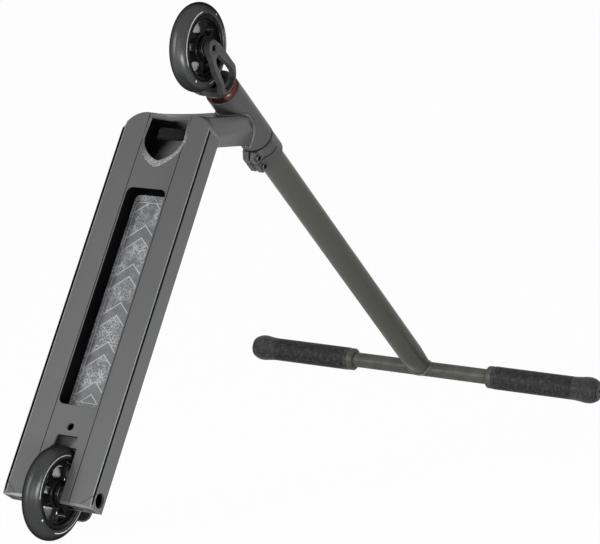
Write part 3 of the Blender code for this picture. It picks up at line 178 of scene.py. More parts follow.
def drawn_piece(name, sections):
    """A filled ring, extruded from section to section, each with its points in the same order."""
    piece = laid_out(name, sections[0])
    for before, after in zip(sections, sections[1:]):
        bpy.ops.mesh.extrude_region_move()
        mesh = bmesh.from_edit_mesh(piece.data)
        for vertex in [v for v in mesh.verts if v.select]:
            nearest = min(range(len(before)), key=lambda i: (Vector(before[i]) - vertex.co).length_squared)
            vertex.co = after[nearest]
        bmesh.update_edit_mesh(piece.data)
    return closed_up(piece)


def block_piece(name, low, high):
    nothing_selected()
    middle = (Vector(low) + Vector(high)) / 2
    bpy.ops.mesh.primitive_cube_add(size=1, location=middle, scale=Vector(high) - Vector(low))
    piece = bpy.context.object
    piece.name = name
    bpy.ops.object.transform_apply()
    return piece


def rod_piece(radius, low, high, turn=HERE, steps=64):
    piece = ring_piece("rod", [(radius, low), (radius, high)], steps)
    piece.data.transform(turn)
    return piece


def with_modifier(piece, kind, **settings):
    only(piece)
    modifier = piece.modifiers.new("shape", kind)
    for key, value in settings.items():
        setattr(modifier, key, value)
    bpy.ops.object.modifier_apply(modifier=modifier.name)
    return piece


def combined(piece, operation, tools):
    for tool in tools:
        with_modifier(piece, "BOOLEAN", operation=operation, solver="EXACT", object=tool)
        bpy.data.objects.remove(tool)
    return piece


def carved(piece, *tools):
    return combined(piece, "DIFFERENCE", tools)


def welded(piece, *tools):
    return combined(piece, "UNION", tools)


def cleaned(piece, close=0.0):
    """No stray face, loose edge or small hole left, and whatever fell together merged."""
    only(piece, edit=True)
    if close:
        bpy.ops.mesh.remove_doubles(threshold=close)
        bpy.ops.mesh.dissolve_degenerate(threshold=close)
    bpy.ops.mesh.select_all(action="DESELECT")
    bpy.ops.mesh.select_non_manifold(use_wire=False, use_multi_face=False, use_non_contiguous=False, use_verts=False)
    bpy.ops.mesh.delete(type="ONLY_FACE")
    bpy.ops.mesh.select_all(action="SELECT")
    bpy.ops.mesh.delete_loose()
    bpy.ops.mesh.select_all(action="SELECT")
    bpy.ops.mesh.fill_holes(sides=8)
    bpy.ops.object.mode_set(mode="OBJECT")
    return piece


def softened(piece, width, segments=2, angle=35, close=0.00002):
    """Every sharp edge rounded by a small bevel."""
    only(piece, edit=True)
    bpy.ops.mesh.remove_doubles(threshold=close)
    bpy.ops.mesh.dissolve_limited(angle_limit=math.radians(0.5))
    bpy.ops.object.mode_set(mode="OBJECT")
    return with_modifier(
        piece, "BEVEL", width=width, segments=segments, limit_method="ANGLE", angle_limit=math.radians(angle),
        use_clamp_overlap=True, miter_outer="MITER_ARC",
    )


def settled(piece, place, body, slot, look, *stands_for, smooth=32, others=()):
    """The finished piece, turned into its place and riding on its body.

    Others are further looks, each on the faces whose middle and normal pass a test.
    """
    piece.data.materials.clear()
    for index, (finish, test) in enumerate([(look, None), *others]):
        piece.data.materials.append(finish)
        for face in piece.data.polygons if test else ():
            if test(face.center, face.normal):
                face.material_index = index
    only(piece)
    piece.data.transform(place)
    bpy.ops.object.shade_smooth_by_angle(angle=math.radians(smooth))
    with_modifier(piece, "WEIGHTED_NORMAL", mode="FACE_AREA", weight=80, keep_sharp=True)
    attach(piece, body)
    if stands_for:
        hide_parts(*stands_for)
    return piece


def arc(centre, radius, start, end, count):
    """Points on an arc, angles in degrees."""
    return [
        (centre[0] + radius * math.cos(math.radians(a)), centre[1] + radius * math.sin(math.radians(a)))
        for a in (start + (end - start) * i / count for i in range(count + 1))
    ]


def rounded(x0, x1, y0, y1, corner, count=8):
    points = []
    low, high = (x0 + corner, y0 + corner), (x1 - corner, y1 - corner)
    for index, (x, y) in enumerate((high, (low[0], high[1]), low, (high[0], low[1]))):
        points += arc((x, y), corner, 90 * index, 90 * (index + 1), count)
    return points


def both_sides(half):
    return half + [(x, -y) for x, y in reversed(half) if y > 0]


def hexagon(flats):
    return arc((0, 0), flats / math.sqrt(3), 0, 300, 5)


def bead(name, points, radius, ripple, loop=False):
    """A weld bead along a line of points: a thin tube whose thickness ripples as each puddle froze."""
    line = bpy.data.curves.new(name, "CURVE")
    line.dimensions = "3D"
    line.bevel_depth = radius
    line.bevel_resolution = 3
    line.use_fill_caps = True
    dense = []
    count = len(points)
    spans = count if loop else count - 1
    for i in range(spans):
        a, b = points[i], points[(i + 1) % count]
        before = points[i - 1] if i or loop else a
        after = points[(i + 2) % count] if loop or i + 2 < count else b
        pieces = max(2, round((b - a).length / 0.0006))
        bend, twist = 2 * before - 5 * a + 4 * b - after, 3 * a - before - 3 * b + after
        for t in (j / pieces for j in range(pieces)):
            dense.append(0.5 * (2 * a + (b - before) * t + bend * t * t + twist * t * t * t))
    spline = line.splines.new("POLY")
    spline.points.add(len(dense) - 1)
    spline.use_cyclic_u = loop
    travelled = 0.0
    for i, point in enumerate(dense):
        if i:
            travelled += (point - dense[i - 1]).length
        spline.points[i].co = (*point, 1)
        spline.points[i].radius = 1 + ripple * math.cos(2 * math.pi * travelled / 0.0028)
    piece = bpy.data.objects.new(name, line)
    bpy.context.scene.collection.objects.link(piece)
    only(piece)
    bpy.ops.object.convert(target="MESH")
    return bpy.context.object


# Looks. An effect that several finishes share is a group that puts out masks, heights and shades.
def node(tree, kind, inputs=None, **settings):
    made = tree.nodes.new(kind)
    for key, value in settings.items():
        setattr(made, key, value)
    for key, value in (inputs or {}).items():
        if isinstance(value, bpy.types.NodeSocket):
            tree.links.new(value, made.inputs[key])
        else:
            made.inputs[key].default_value = value
    return made


def reckoned(operation, *values):
    """A Math node on numbers and sockets, in the tree of its sockets."""
    tree = next(value.id_data for value in values if isinstance(value, bpy.types.NodeSocket))
    return node(tree, "ShaderNodeMath", dict(enumerate(values)), operation=operation).outputs[0]


times, plus, minus = (partial(reckoned, kind) for kind in ("MULTIPLY", "ADD", "SUBTRACT"))
larger, less, unsigned = (partial(reckoned, kind) for kind in ("MAXIMUM", "LESS_THAN", "ABSOLUTE"))
close_to = partial(reckoned, "COMPARE")  # of a value, a middle and the reach to both sides


def vectored(operation, *values):
    """A Vector Math node, for its vector or its length."""
    made = node(values[0].id_data, "ShaderNodeVectorMath", dict(enumerate(values)), operation=operation)
    return made.outputs["Value" if operation == "LENGTH" else "Vector"]


def parts_of(vector):
    """A vector's X, Y and Z."""
    return node(vector.id_data, "ShaderNodeSeparateXYZ", {"Vector": vector}).outputs


def ranged(value, low, high, to_low=0.0, to_high=1.0):
    inputs = {"Value": value, "From Min": low, "From Max": high, "To Min": to_low, "To Max": to_high}
    return node(value.id_data, "ShaderNodeMapRange", inputs).outputs["Result"]


def noise(vector, scale, detail=3.0, roughness=0.55):
    inputs = {"Vector": vector, "Scale": scale, "Detail": detail, "Roughness": roughness}
    return node(vector.id_data, "ShaderNodeTexNoise", inputs).outputs["Fac"]


def rgb(shade):
    """A colour for a socket, from a grey or three parts. One that comes from a socket stays as it is."""
    if isinstance(shade, bpy.types.NodeSocket):
        return shade
    return (*((shade,) * 3 if isinstance(shade, float) else shade), 1.0)


def layered(base, *layers):
    """A colour with others laid over it, each through its mask."""
    for mask, shade in layers:
        mix = node(mask.id_data, "ShaderNodeMix", {0: mask, 6: rgb(base), 7: rgb(shade)}, data_type="RGBA")
        base = mix.outputs[2]
    return base


def between(factor, first, second):
    """Two colours mixed by a mask."""
    return layered(first, (factor, second))


def effect(name, numbers, reckon):
    """A group that takes a vector and some numbers, and puts out what a function reckons from them."""
    group = bpy.data.node_groups.new(name, "ShaderNodeTree")
    group.interface.new_socket("Vector", in_out="INPUT", socket_type="NodeSocketVector")
    for label, value in numbers.items():
        group.interface.new_socket(label, in_out="INPUT", socket_type="NodeSocketFloat").default_value = value
    made = reckon(group.nodes.new("NodeGroupInput").outputs)
    for label in made:
        group.interface.new_socket(label, in_out="OUTPUT", socket_type="NodeSocketFloat")
    node(group, "NodeGroupOutput", made)
    return group


def grain_over(given):
    """A fine blasted or moulded surface: its height, and the slow change of shade over it."""
    at, scale = given["Vector"], given["Scale"]
    height = plus(times(noise(at, scale, 2.0), 0.6), noise(at, times(scale, 0.31), 2.0))
    return {"Height": height, "Shade": ranged(noise(at, times(scale, 0.02), 4.0), 0.3, 0.7)}


def wear_over(given):
    """Where a coating has worn through on the edges, in patches."""
    at = given["Vector"]
    edge = ranged(node(at.id_data, "ShaderNodeNewGeometry").outputs["Pointiness"], 0.53, 0.6)
    patch = ranged(noise(at, given["Patch Scale"], 4.0, 0.7), 0.42, 0.62)
    return {"Mask": times(times(edge, patch), given["Amount"])}


def scuffs_over(given):
    """Fine scratches: thin contour lines of a stretched noise, gathered in patches, and the smears between them."""
    at, amount = given["Vector"], given["Amount"]
    line = close_to(noise(at, given["Scale"], 3.0, 0.5), 0.5, 0.006)
    gathered = ranged(noise(at, 9.0, 2.0), 0.5, 0.62)
    smear = ranged(noise(at, 6.0, 5.0, 0.6), 0.35, 0.7)
    return {"Scratches": times(times(line, gathered), amount), "Smears": times(smear, amount)}


def dust_over(given):
    """A thin film of dust that settles on what faces up."""
    at = given["Vector"]
    up = ranged(parts_of(node(at.id_data, "ShaderNodeNewGeometry").outputs["Normal"])["Z"], 0.2, 1.0)
    patch = ranged(noise(at, 28.0, 6.0, 0.65), 0.35, 0.75)
    return {"Mask": times(times(up, patch), given["Amount"])}


GRAIN = effect("fine grain", {"Scale": 900.0}, grain_over)
WEAR = effect("edge wear", {"Amount": 0.5, "Patch Scale": 60.0}, wear_over)
SCUFFS = effect("scuffs", {"Scale": 40.0, "Amount": 0.5}, scuffs_over)
DUST = effect("dust", {"Amount": 0.3}, dust_over)


def effect_in(group, at, **numbers):
    """What an effect puts out at a place."""
    return node(at.id_data, "ShaderNodeGroup", {"Vector": at, **numbers}, node_tree=group).outputs


def in_frame(tree, place, stretch=(1, 1, 1)):
    """Coordinates in one of the modelling frames, from the piece's own, then stretched along its axes."""
    own = node(tree, "ShaderNodeTexCoord").outputs["Object"]
    inputs = {"Vector": own, "Location": place.translation, "Rotation": place.to_euler()}
    local = node(tree, "ShaderNodeMapping", inputs, vector_type="TEXTURE").outputs[0]
    if tuple(stretch) == (1, 1, 1):
        return local
    return node(tree, "ShaderNodeMapping", {"Vector": local, "Scale": stretch}).outputs[0]


def blank_look(name, roughness, metallic=0.0, specular=0.5, edge=1.0):
    look = bpy.data.materials.new(name)
    look.use_nodes = True
    shader = look.node_tree.nodes["Principled BSDF"]
    shader.inputs["Metallic"].default_value = metallic
    shader.inputs["Roughness"].default_value = roughness
    shader.inputs["Specular IOR Level"].default_value = specular
    shader.inputs["Specular Tint"].default_value = rgb(edge)
    return look, look.node_tree, shader


def surfaced(shader, base, rough, height, distance):
    """The shader's colour, roughness and bump."""
    tree = shader.id_data
    bump = node(tree, "ShaderNodeBump", {"Height": height, "Distance": distance, "Strength": 1.0})
    for value, name in ((base, "Base Color"), (rough, "Roughness"), (bump.outputs[0], "Normal")):
        tree.links.new(value, shader.inputs[name])


def metal_look(
    name, colour, roughness, metallic, place=HERE, stretch=(1, 1, 1), grain=900.0, depth=0.00003, spread=0.06,
    wear=0.18, specular=0.12, rubbed_and_highlit=0.0, crease_shade=None,
):
    """An anodised, coated or bare metal, with grain, wear on its edges, scuffs and a little dust; where asked, a
    painted highlight along a line and a painted shade line along a crease.
    """
    look, tree, shader = blank_look(name, roughness, metallic, specular, 0.25)
    at = in_frame(tree, place)
    surface = effect_in(GRAIN, in_frame(tree, place, stretch), Scale=grain)
    worn = effect_in(WEAR, at, Amount=wear)["Mask"]
    scuffs = effect_in(SCUFFS, at, Amount=0.1)
    dust = effect_in(DUST, at, Amount=0.02)["Mask"]
    bare = (0.36, 0.36, 0.35)
    base = between(surface["Shade"], [c * (1 - spread) for c in colour], [c * (1 + spread) for c in colour])
    base = layered(base, (times(scuffs["Scratches"], 0.5), bare), (worn, bare))
    # A painted highlight: a pale, broken line at a set distance from the middle, beside the side groove.
    if rubbed_and_highlit:
        line = close_to(unsigned(parts_of(at)["Y"]), rubbed_and_highlit, 0.0005)
        line = times(line, ranged(noise(at, 260.0), 0.2, 0.5, 0.35, 1.0))
        base = between(line, base, (0.27, 0.28, 0.28))
    # A painted shade: a dark line along the crease where the tail's corner facet meets the underside.
    if crease_shade:
        parts = parts_of(at)
        (start, across), (length, width) = crease_shade
        beside = minus(unsigned(parts["Y"]), across)
        line = close_to(beside, times(minus(parts["X"], start), width / length), 0.0006)
        line = times(line, less(parts["Z"], DECK_BOTTOM + 0.003))
        base = between(line, base, 0.03)
    base = between(dust, base, (0.34, 0.32, 0.29))
    rough = plus(ranged(surface["Shade"], 0, 1, roughness - 0.05, roughness + 0.05), dust)
    rough = plus(rough, times(scuffs["Smears"], 0.1))
    surfaced(shader, base, rough, minus(surface["Height"], times(scuffs["Scratches"], 1.5)), depth)
    return look


def moulded_look(name, colour, roughness, grain, depth, dust=0.02, specular=0.5, blotch=0.0):
    """Rubber, nylon or grit: one colour through, with its moulded grain and the dust that it holds."""
    look, tree, shader = blank_look(name, roughness, specular=specular)
    at = in_frame(tree, HERE)
    surface = effect_in(GRAIN, at, Scale=grain)
    film = effect_in(DUST, at, Amount=dust)["Mask"]
    smears = effect_in(SCUFFS, at, Amount=0.5)["Smears"]
    base = between(surface["Shade"], [c * 0.8 for c in colour], [c * 1.25 for c in colour])
    base = between(times(smears, 0.12), base, (0.16, 0.155, 0.15))
    if blotch:
        base = between(times(ranged(noise(at, 210.0, 4.0, 0.7), 0.48, 0.66), blotch), base, 0.15)
    base = between(film, base, (0.3, 0.28, 0.26))
    rough = plus(ranged(surface["Shade"], 0, 1, roughness - 0.06, roughness + 0.06), times(film, 0.3))
    surfaced(shader, base, rough, surface["Height"], depth)
    return look


def tyre_look(name, axle, start, dark, pale):
    """Cast urethane, dull where it rolls, with two thin arcs and two dots printed round it near the core."""
    look, tree, shader = blank_look(name, 0.3, 0.6, 0.0, 0.1)
    at = in_frame(tree, axle)
    parts = parts_of(at)
    radius = vectored("LENGTH", vectored("MULTIPLY", at, (1, 1, 0)))
    turn = plus(reckoned("ARCTAN2", parts["Y"], parts["X"]), 3 * math.pi - start)
    share = reckoned("FRACT", reckoned("DIVIDE", turn, math.pi))
    arcs = times(close_to(radius, 0.0448, 0.00046), close_to(share, 0.568, 0.292))
    dots = times(close_to(radius, 0.0452, 0.0011), close_to(share, 0.048, 0.007))
    printed = times(larger(arcs, dots), ranged(noise(at, 900.0, 2.0), 0.3, 0.4))
    surface = effect_in(GRAIN, at, Scale=500.0)
    film = effect_in(DUST, at, Amount=0.02)["Mask"]
    rolled = times(ranged(radius, 0.053, 0.0547), ranged(noise(at, 160.0), 0.3, 0.7))
    base = between(surface["Shade"], (dark, dark + 0.001, dark + 0.002), (pale, pale + 0.001, pale + 0.002))
    base = layered(base, (times(rolled, 0.15), 0.06), (film, (0.25, 0.24, 0.22)), (printed, 0.8))
    rough = plus(ranged(surface["Shade"], 0, 1, 0.24, 0.3), times(rolled, 0.15))
    surfaced(shader, base, rough, plus(surface["Height"], times(rolled, 2.0)), 0.00001)
    return look


def mouth_light(parts, grow):
    """How far a place in the mouth lies towards its rear and right, where more light comes in."""
    rear = times(minus(DECK_FRONT - 0.04, parts["X"]), grow)
    return ranged(plus(rear, parts["Y"]), -0.018, 0.03)


def hollow_look():
    """The inside of the deck: painted shade, black behind the pocket, and painted light, paler where the mouth opens
    to the rear and right and in the notch before the rear wheel.
    """
    look, tree, shader = blank_look("inside of the deck, painted shade and light", 0.6, specular=0.0)
    at = in_frame(tree, PARKED)
    parts = parts_of(at)
    lit = times(mouth_light(parts, 0.7), ranged(parts["X"], DECK_FRONT - 0.085, DECK_FRONT - 0.078))
    notch = times(close_to(parts["X"], 0.052, 0.019), ranged(unsigned(parts["Y"]), 0.0155, 0.026, 0.75, 0.35))
    surface = effect_in(GRAIN, at, Scale=500.0)
    dark = between(surface["Shade"], (0.004, 0.004, 0.0045), 0.006)
    pale = between(surface["Shade"], (0.285, 0.295, 0.285), (0.32, 0.33, 0.32))
    base = between(larger(lit, notch), dark, pale)
    surfaced(shader, base, ranged(surface["Shade"], 0, 1, 0.55, 0.7), surface["Height"], 0.00003)
    return look


def rim_look():
    """A milled rim with a painted highlight, brightest at its rear corner where more light comes in, broken up by the
    tool's marks.
    """
    look, tree, shader = blank_look("milled rim of the mouth, painted highlight", 0.4, 0.3, 0.3)
    at = in_frame(tree, PARKED)
    chips = ranged(noise(at, 620.0, 3.0, 0.8), 0.4, 0.62)
    shade = effect_in(GRAIN, at, Scale=600.0)["Shade"]
    bright = times(chips, ranged(mouth_light(parts_of(at), 1.6), 0.15, 0.9, 0.12, 1.0))
    base = between(bright, (0.085, 0.087, 0.085), (0.5, 0.5, 0.49))
    surfaced(shader, base, ranged(shade, 0, 1, 0.3, 0.5), chips, 0.00008)
    return look


def insert_look():
    """A printed film: a fine pale net on dark grey, inside an outline with round corners, crossed by chevrons."""
    look, tree, shader = blank_look("printed deck insert", 0.38)
    at = in_frame(tree, PARKED)
    centre, half = (0.242, 0.0, 0.0), (0.122, 0.0155, 1.0)
    aside = vectored("ABSOLUTE", vectored("SUBTRACT", at, centre))
    away = vectored("LENGTH", vectored("MAXIMUM", vectored("SUBTRACT", aside, half), (0, 0, 0)))
    outline, inside = close_to(away, 0.006, 0.0004), less(away, 0.006)
    parts = parts_of(at)
    march = reckoned("FRACT", times(plus(parts["X"], times(unsigned(parts["Y"]), 0.9)), 20.0))
    bars = times(larger(close_to(march, 0.5, 0.014), close_to(march, 0.82, 0.014)), inside)
    panel = times(close_to(march, 0.66, 0.16), inside)
    edges = []
    for scale, loose in ((330.0, 0.9), (120.0, 1.0)):
        inputs = {"Vector": at, "Scale": scale, "Randomness": loose}
        cells = node(tree, "ShaderNodeTexVoronoi", inputs, feature="DISTANCE_TO_EDGE")
        edges.append(cells.outputs["Distance"])
    net = larger(less(edges[0], 0.075), less(edges[1], 0.04))
    net = times(net, ranged(noise(at, 60.0), 0.35, 0.6))
    surface = effect_in(GRAIN, at, Scale=700.0)
    base = between(surface["Shade"], (0.1, 0.101, 0.107), (0.13, 0.131, 0.137))
    base = layered(base, (times(net, 0.75), (0.52, 0.53, 0.55)), (times(panel, 0.72), (0.13, 0.132, 0.138)))
    base = between(larger(outline, bars), base, (0.5, 0.51, 0.53))
    surfaced(shader, base, ranged(surface["Shade"], 0, 1, 0.3, 0.46), surface["Height"], 0.00001)
    return look


ALONG_DECK = (0.02, 1, 1)
ALONG_TUBE = (1, 1, 0.05)
SATIN = (0.118, 0.121, 0.119)
# The deck's satin grey, with a painted highlight line beside the side groove and a painted shade line along the
# crease of the tail's corner facets.
deck_grey = metal_look(
    "satin grey anodised deck", SATIN, 0.42, 0.15, PARKED, ALONG_DECK, grain=500.0, depth=0.000025, wear=0.0,
    rubbed_and_highlit=DECK_HALF - 0.0042, crease_shade=((DECK_TAIL, DECK_HALF - FACET[1]), FACET),
)
# The deck's anodised grey, painted darker on the neck and the head tube: painted shade.
frame_grey = metal_look("satin grey anodised frame, painted shade", (0.094, 0.096, 0.094), 0.32, 0.12, STEERING)
fork_grey = metal_look("dark satin anodised fork", (0.075, 0.076, 0.078), 0.33, 0.3, STEERING)
# Bare metal inside the neck, painted paler as painted light in the mouth.
raw_and_lit_grey = metal_look("raw inside of the neck, painted light", (0.45, 0.46, 0.45), 0.5, 0.2, PARKED)
clamp_grey = metal_look("dark satin anodised clamp", (0.086, 0.087, 0.086), 0.33, 0.2, STEERING)
# Painted shade and light for the deck's insides.
inside_shade_and_light = hollow_look()
# The mouth's milled rim, with a painted highlight.
mouth_rim = rim_look()
# Painted shade at the bottom of the deck's grooves.
groove_shade = metal_look(
    "painted shade in a groove", (0.006, 0.006, 0.006), 0.6, 0.0, PARKED, ALONG_DECK, specular=0.0, wear=0.0
)
machined = metal_look(
    "milled edge", (0.34, 0.34, 0.335), 0.34, 0.6, PARKED, grain=420.0, depth=0.00006, spread=0.4
)
weld = metal_look("anodised weld bead", (0.1, 0.102, 0.1), 0.3, 0.4, grain=1400.0, spread=0.3, wear=0.4)
bar_weld = metal_look("coated weld bead", (0.12, 0.119, 0.11), 0.32, 0.5, grain=1400.0, spread=0.3, wear=0.4)
bar_grey = metal_look("satin warm grey bars", (0.094, 0.093, 0.083), 0.31, 0.14, STEERING, ALONG_TUBE, grain=700.0)
black_metal = metal_look("black anodised", (0.016, 0.016, 0.018), 0.34, 0.45, STEERING)
wheel_black = metal_look("black anodised wheel core", (0.01, 0.01, 0.011), 0.22, 0.5, specular=0.1)
# The core's black anodising, made brighter and glossier on the spoke walls: a painted sheen.
spoke_wall_sheen = metal_look("black anodised spoke wall, painted sheen", (0.052, 0.052, 0.054), 0.15, 0.9)
copper = metal_look("copper red anodised", (0.105, 0.037, 0.031), 0.2, 0.85)
steel = metal_look("bright turned steel", (0.5, 0.5, 0.51), 0.27, 1.0)
# The bearings' steel painted dark: painted shade inside the hub.
shaded_bearing_steel = metal_look("bearing steel, painted shade", (0.05, 0.05, 0.052), 0.4, 0.8)
black_steel = metal_look("blackened steel", (0.018, 0.018, 0.019), 0.3, 0.6, wear=0.4)
# Bolt rims: rubbed bare steel, made brighter as a painted highlight.
bolt_edge = metal_look("rubbed edge of a bolt head", (0.17, 0.17, 0.17), 0.22, 0.9)
grip_rubber = moulded_look(
    "black grip rubber", (0.018, 0.018, 0.019), 0.5, 1500.0, 0.00006, specular=0.3, blotch=0.45
)
nylon = moulded_look("black moulded nylon", (0.014, 0.014, 0.0145), 0.44, 1100.0, 0.00003, specular=0.35)
grit = moulded_look("black grit sheet", (0.014, 0.014, 0.014), 0.92, 1600.0, 0.0004, dust=0.25)
# One urethane in two shades: the front tyre painted lighter and the rear one darker, painted light and shade.
front_tyre_look = tyre_look("cast urethane, front, painted lighter", FRONT_AXLE, 0.0, 0.06, 0.076)
rear_tyre_look = tyre_look("cast urethane, rear, painted darker", REAR_AXLE, 2.46, 0.044, 0.056)
printed_insert = insert_look()


# Pieces.
def bowed(corners, radius, count=5):
    """An outline with each corner rounded off, as far as its sides allow."""
    points = []
    for i, corner in enumerate(corners):
        here = Vector(corner)
        sides = [Vector(beside) - here for beside in (corners[i - 1], corners[(i + 1) % len(corners)])]
        back, on = (here + side.normalized() * min(radius, side.length * 0.45) for side in sides)
        for j in range(count + 1):
            t = j / count
            points.append(tuple(back * (1 - t) ** 2 + here * (2 * t * (1 - t)) + on * t * t))
    return points


def away_from(place):
    """The same place, facing the other way across the scooter."""
    return place @ Matrix.Rotation(math.pi, 4, "X")


def socket(across, low, high):
    """A hexagon socket with a drilled bottom."""
    hole = plate_piece("socket", hexagon(across), low, high)
    return welded(hole, ring_piece("drill", [(across * 0.1, low - across * 0.2), (across * 0.45, low + 0.0001)], 24))


def cap_bolt(name, radius, head, height, length, hexagon_size):
    """A round-headed bolt, its head from the origin up and its threaded shank down."""
    edge = height * 0.14
    profile = [(radius * 0.6, -length), (radius, -length + radius * 0.4)]
    turns = 7
    for i in range(turns):
        low = -length + radius * 0.4 + i * 0.001
        profile += [(radius, low + 0.0001), (radius * 0.88, low + 0.0005), (radius, low + 0.0009)]
    profile += [(radius, -0.0001), (head - edge, 0.0), (head, edge * 0.6), (head, height - edge)]
    profile += [(head - edge * 0.3, height - edge * 0.3), (head - edge, height), (head * 0.78, height)]
    profile += [(head * 0.75, height - 0.0003), (head * 0.7, height - 0.0003), (head * 0.67, height)]
    bolt = ring_piece(name, profile, 48)
    return carved(bolt, socket(hexagon_size, height * 0.42, height + CUT))


def rim_of(head):
    """Finds the outer ring of a bolt's head."""
    return lambda centre, normal: normal.z > 0.2 and math.hypot(centre.x, centre.y) > head * 0.8


def hex_nut(name, bore, across, height):
    """A hexagon nut with turned corners, a threaded bore and a locking collar."""
    made = plate_piece(name, hexagon(across), 0, height * 0.8)
    corner = across / math.sqrt(3)
    turned = [(corner - 0.0009, -CUT), (corner + 0.0002, 0.0007), (corner + 0.0002, height * 0.8 - 0.0007)]
    turned += [(corner - 0.0012, height * 0.8 + 0.0002)]
    combined(made, "INTERSECT", [ring_piece("corners", turned, 48)])
    collar = [(across * 0.44, height * 0.7), (across * 0.44, height * 0.93), (across * 0.4, height)]
    welded(made, ring_piece("collar", collar, 48))
    return carved(made, ring_piece("bore", [(bore, -CUT), (bore, height + CUT)], 32))


def make_wheel(end, axle, body, turn, look):
    half = WHEEL_HALF
    seat = CORE_RADIUS + GAP
    tread = [(r, h) for h, r in arc((0, WHEEL_RADIUS - half), half, 0, 180, 24)]
    upper = [(seat + 0.0018, 0.004), (seat, 0.0045), (seat, half - 0.0016)]
    upper += [(seat + 0.0003, half - 0.0009), (seat + 0.0012, half - 0.0002)]
    inside = [(r, -h) for r, h in reversed(upper)] + upper
    tyre = ring_piece(f"{end}_tyre_cast", tread + inside, 128, hollow=True)
    settled(tyre, axle, body, "tyre", look, f"{end}_tyre", smooth=50)

    rim, web, hub = 0.01075, 0.0055, 0.015
    under = CORE_RADIUS - 0.0045
    side = [
        (CORE_RADIUS, rim - 0.0006), (CORE_RADIUS - 0.0006, rim), (under + 0.0006, rim),
        (under, rim - 0.0005), (under - 0.0003, web + 0.0018), (under - 0.001, web + 0.0006),
        (under - 0.0024, web), (hub + 0.0024, web), (hub + 0.001, web + 0.0006), (hub, web + 0.0018),
        (hub - 0.0004, half - 0.0006), (hub - 0.001, half), (0.01165, half), (0.01115, half - 0.0005),
        (0.01115, half - 0.007), (0.0082, half - 0.007),
    ]
    rib = CORE_RADIUS + 0.0016
    profile = [(CORE_RADIUS, -0.004), (rib, -0.0034), (rib, 0.0034), (CORE_RADIUS, 0.004)]
    profile += side + [(r, -h) for r, h in reversed(side)]
    core = ring_piece(f"{end}_core_machined", profile, 128, hollow=True)
    low, high, wide, narrow = hub + 0.0025, under - 0.0025, 20.5, 14.8
    for index in range(6):
        middle = -math.degrees(turn) + 60 * index
        corners = arc((0, 0), high, middle - wide, middle + wide, 6)
        corners += arc((0, 0), low, middle + narrow, middle - narrow, 4)
        carved(core, plate_piece("window", bowed(corners, 0.0032, 4), -half, half))
    softened(core, 0.0005, 2, 40)

    def spoke_wall(centre, normal):
        return abs(normal.z) < 0.3 and hub + 0.0008 < math.hypot(centre.x, centre.y) < under - 0.0008

    def shield(centre, normal):
        return abs(math.hypot(centre.x, centre.y) - 0.0078) < 0.0013 and normal.z > 0.5

    # The spoke walls take the painted sheen.
    settled(core, axle, body, "black_metal", wheel_black, f"{end}_core", others=((spoke_wall_sheen, spoke_wall),))

    for side_name, place in (("left", axle), ("right", away_from(axle))):
        bearing = [
            (0.0043, half - 0.0068), (0.0043, half - 0.0003), (0.0046, half), (0.006, half),
            (0.0062, half - 0.0002), (0.0062, half - 0.0007), (0.0066, half - 0.0005),
            (0.009, half - 0.0005), (0.0093, half - 0.0007), (0.0093, half - 0.0002), (0.0095, half),
            (0.01055, half), (0.01085, half - 0.0003), (0.01085, half - 0.0068),
        ]
        made = ring_piece(f"{end}_bearing_shielded_{side_name}", bearing, 64, hollow=True)
        # The bearings take the painted shade.
        settled(made, place, body, "steel", shaded_bearing_steel, f"{end}_bearing_{side_name}", others=((nylon, shield),))


def make_axle(end, place, body, head, inner, head_at, nut_at, length):
    """An axle bolt with its nut on the other side, and the two turned spacers beside the wheel."""
    bolt = cap_bolt(f"{end}_axle_bolt_socketed", 0.00385, head, 0.0045, length, 0.005)
    there = place @ Matrix.Translation((0, 0, head_at))
    # The head's outer ring: worn metal with a painted highlight.
    rubbed_and_highlit = ((bolt_edge, rim_of(head)),)
    settled(bolt, there, body, "black_steel", black_steel, f"{end}_axle_bolt", others=rubbed_and_highlit)
    nut = hex_nut(f"{end}_axle_nut_locking", 0.0043, 0.013, 0.0065)
    there = away_from(place) @ Matrix.Translation((0, 0, nut_at))
    settled(nut, there, body, "black_steel", black_steel, f"{end}_axle_nut")
    for side_name, turned in (("left", place), ("right", away_from(place))):
        low, high = WHEEL_HALF + GAP, inner - GAP
        profile = [(0.00415, low), (0.006, low), (0.0065, low + 0.0003), (0.0065, high - 0.0003), (0.006, high)]
        spacer = ring_piece(f"{end}_spacer_turned_{side_name}", profile + [(0.00415, high)], 48, hollow=True)
        settled(spacer, turned, body, "steel", steel, f"{end}_spacer_{side_name}")


def front_half(raised=0.0, inset=0.0, count=15):
    """Half of the deck's front edge, from the side to the middle: a corner, then the scooped edge."""
    side = DECK_HALF - DECK_CORNER
    centre = (DECK_FRONT - DECK_CORNER, side)
    crease = Vector(arc(centre, DECK_CORNER - inset, 60, 60, 1)[0])
    front = Vector((DECK_FRONT - inset + 0.011, side + 0.003))
    half = []
    for index, point in enumerate(arc(centre, DECK_CORNER - inset, 90, 0, count)):
        angle = 90 * (1 - index / count)
        top = crease.lerp(front, 1 - angle / 60) if angle < 60 else Vector(point)
        half.append(tuple(Vector(point).lerp(top, raised)))
    x, y = half[-1]
    shares = [1 - i / 16 for i in range(1, 17)]
    return half + [(x - 0.0045 * (1 - share * share), y * share) for share in shares]


def mouth_half(margin=0.0):
    """Half of the opening under the deck's front, from its rear tip forward."""
    width = 0.0272 + margin
    root = DECK_FRONT - 0.061 + MOUTH_DEEP
    half = []
    for step in range(25):
        share = math.cos(math.pi / 2 * step / 24)
        half.append((root - (MOUTH_DEEP + 2 * margin) * share, width * max(0.0, 1 - share * share) ** 0.75))
    return half + [(MOUTH_FRONT + 0.0018, width - 0.0018), (MOUTH_FRONT, 0.0)]


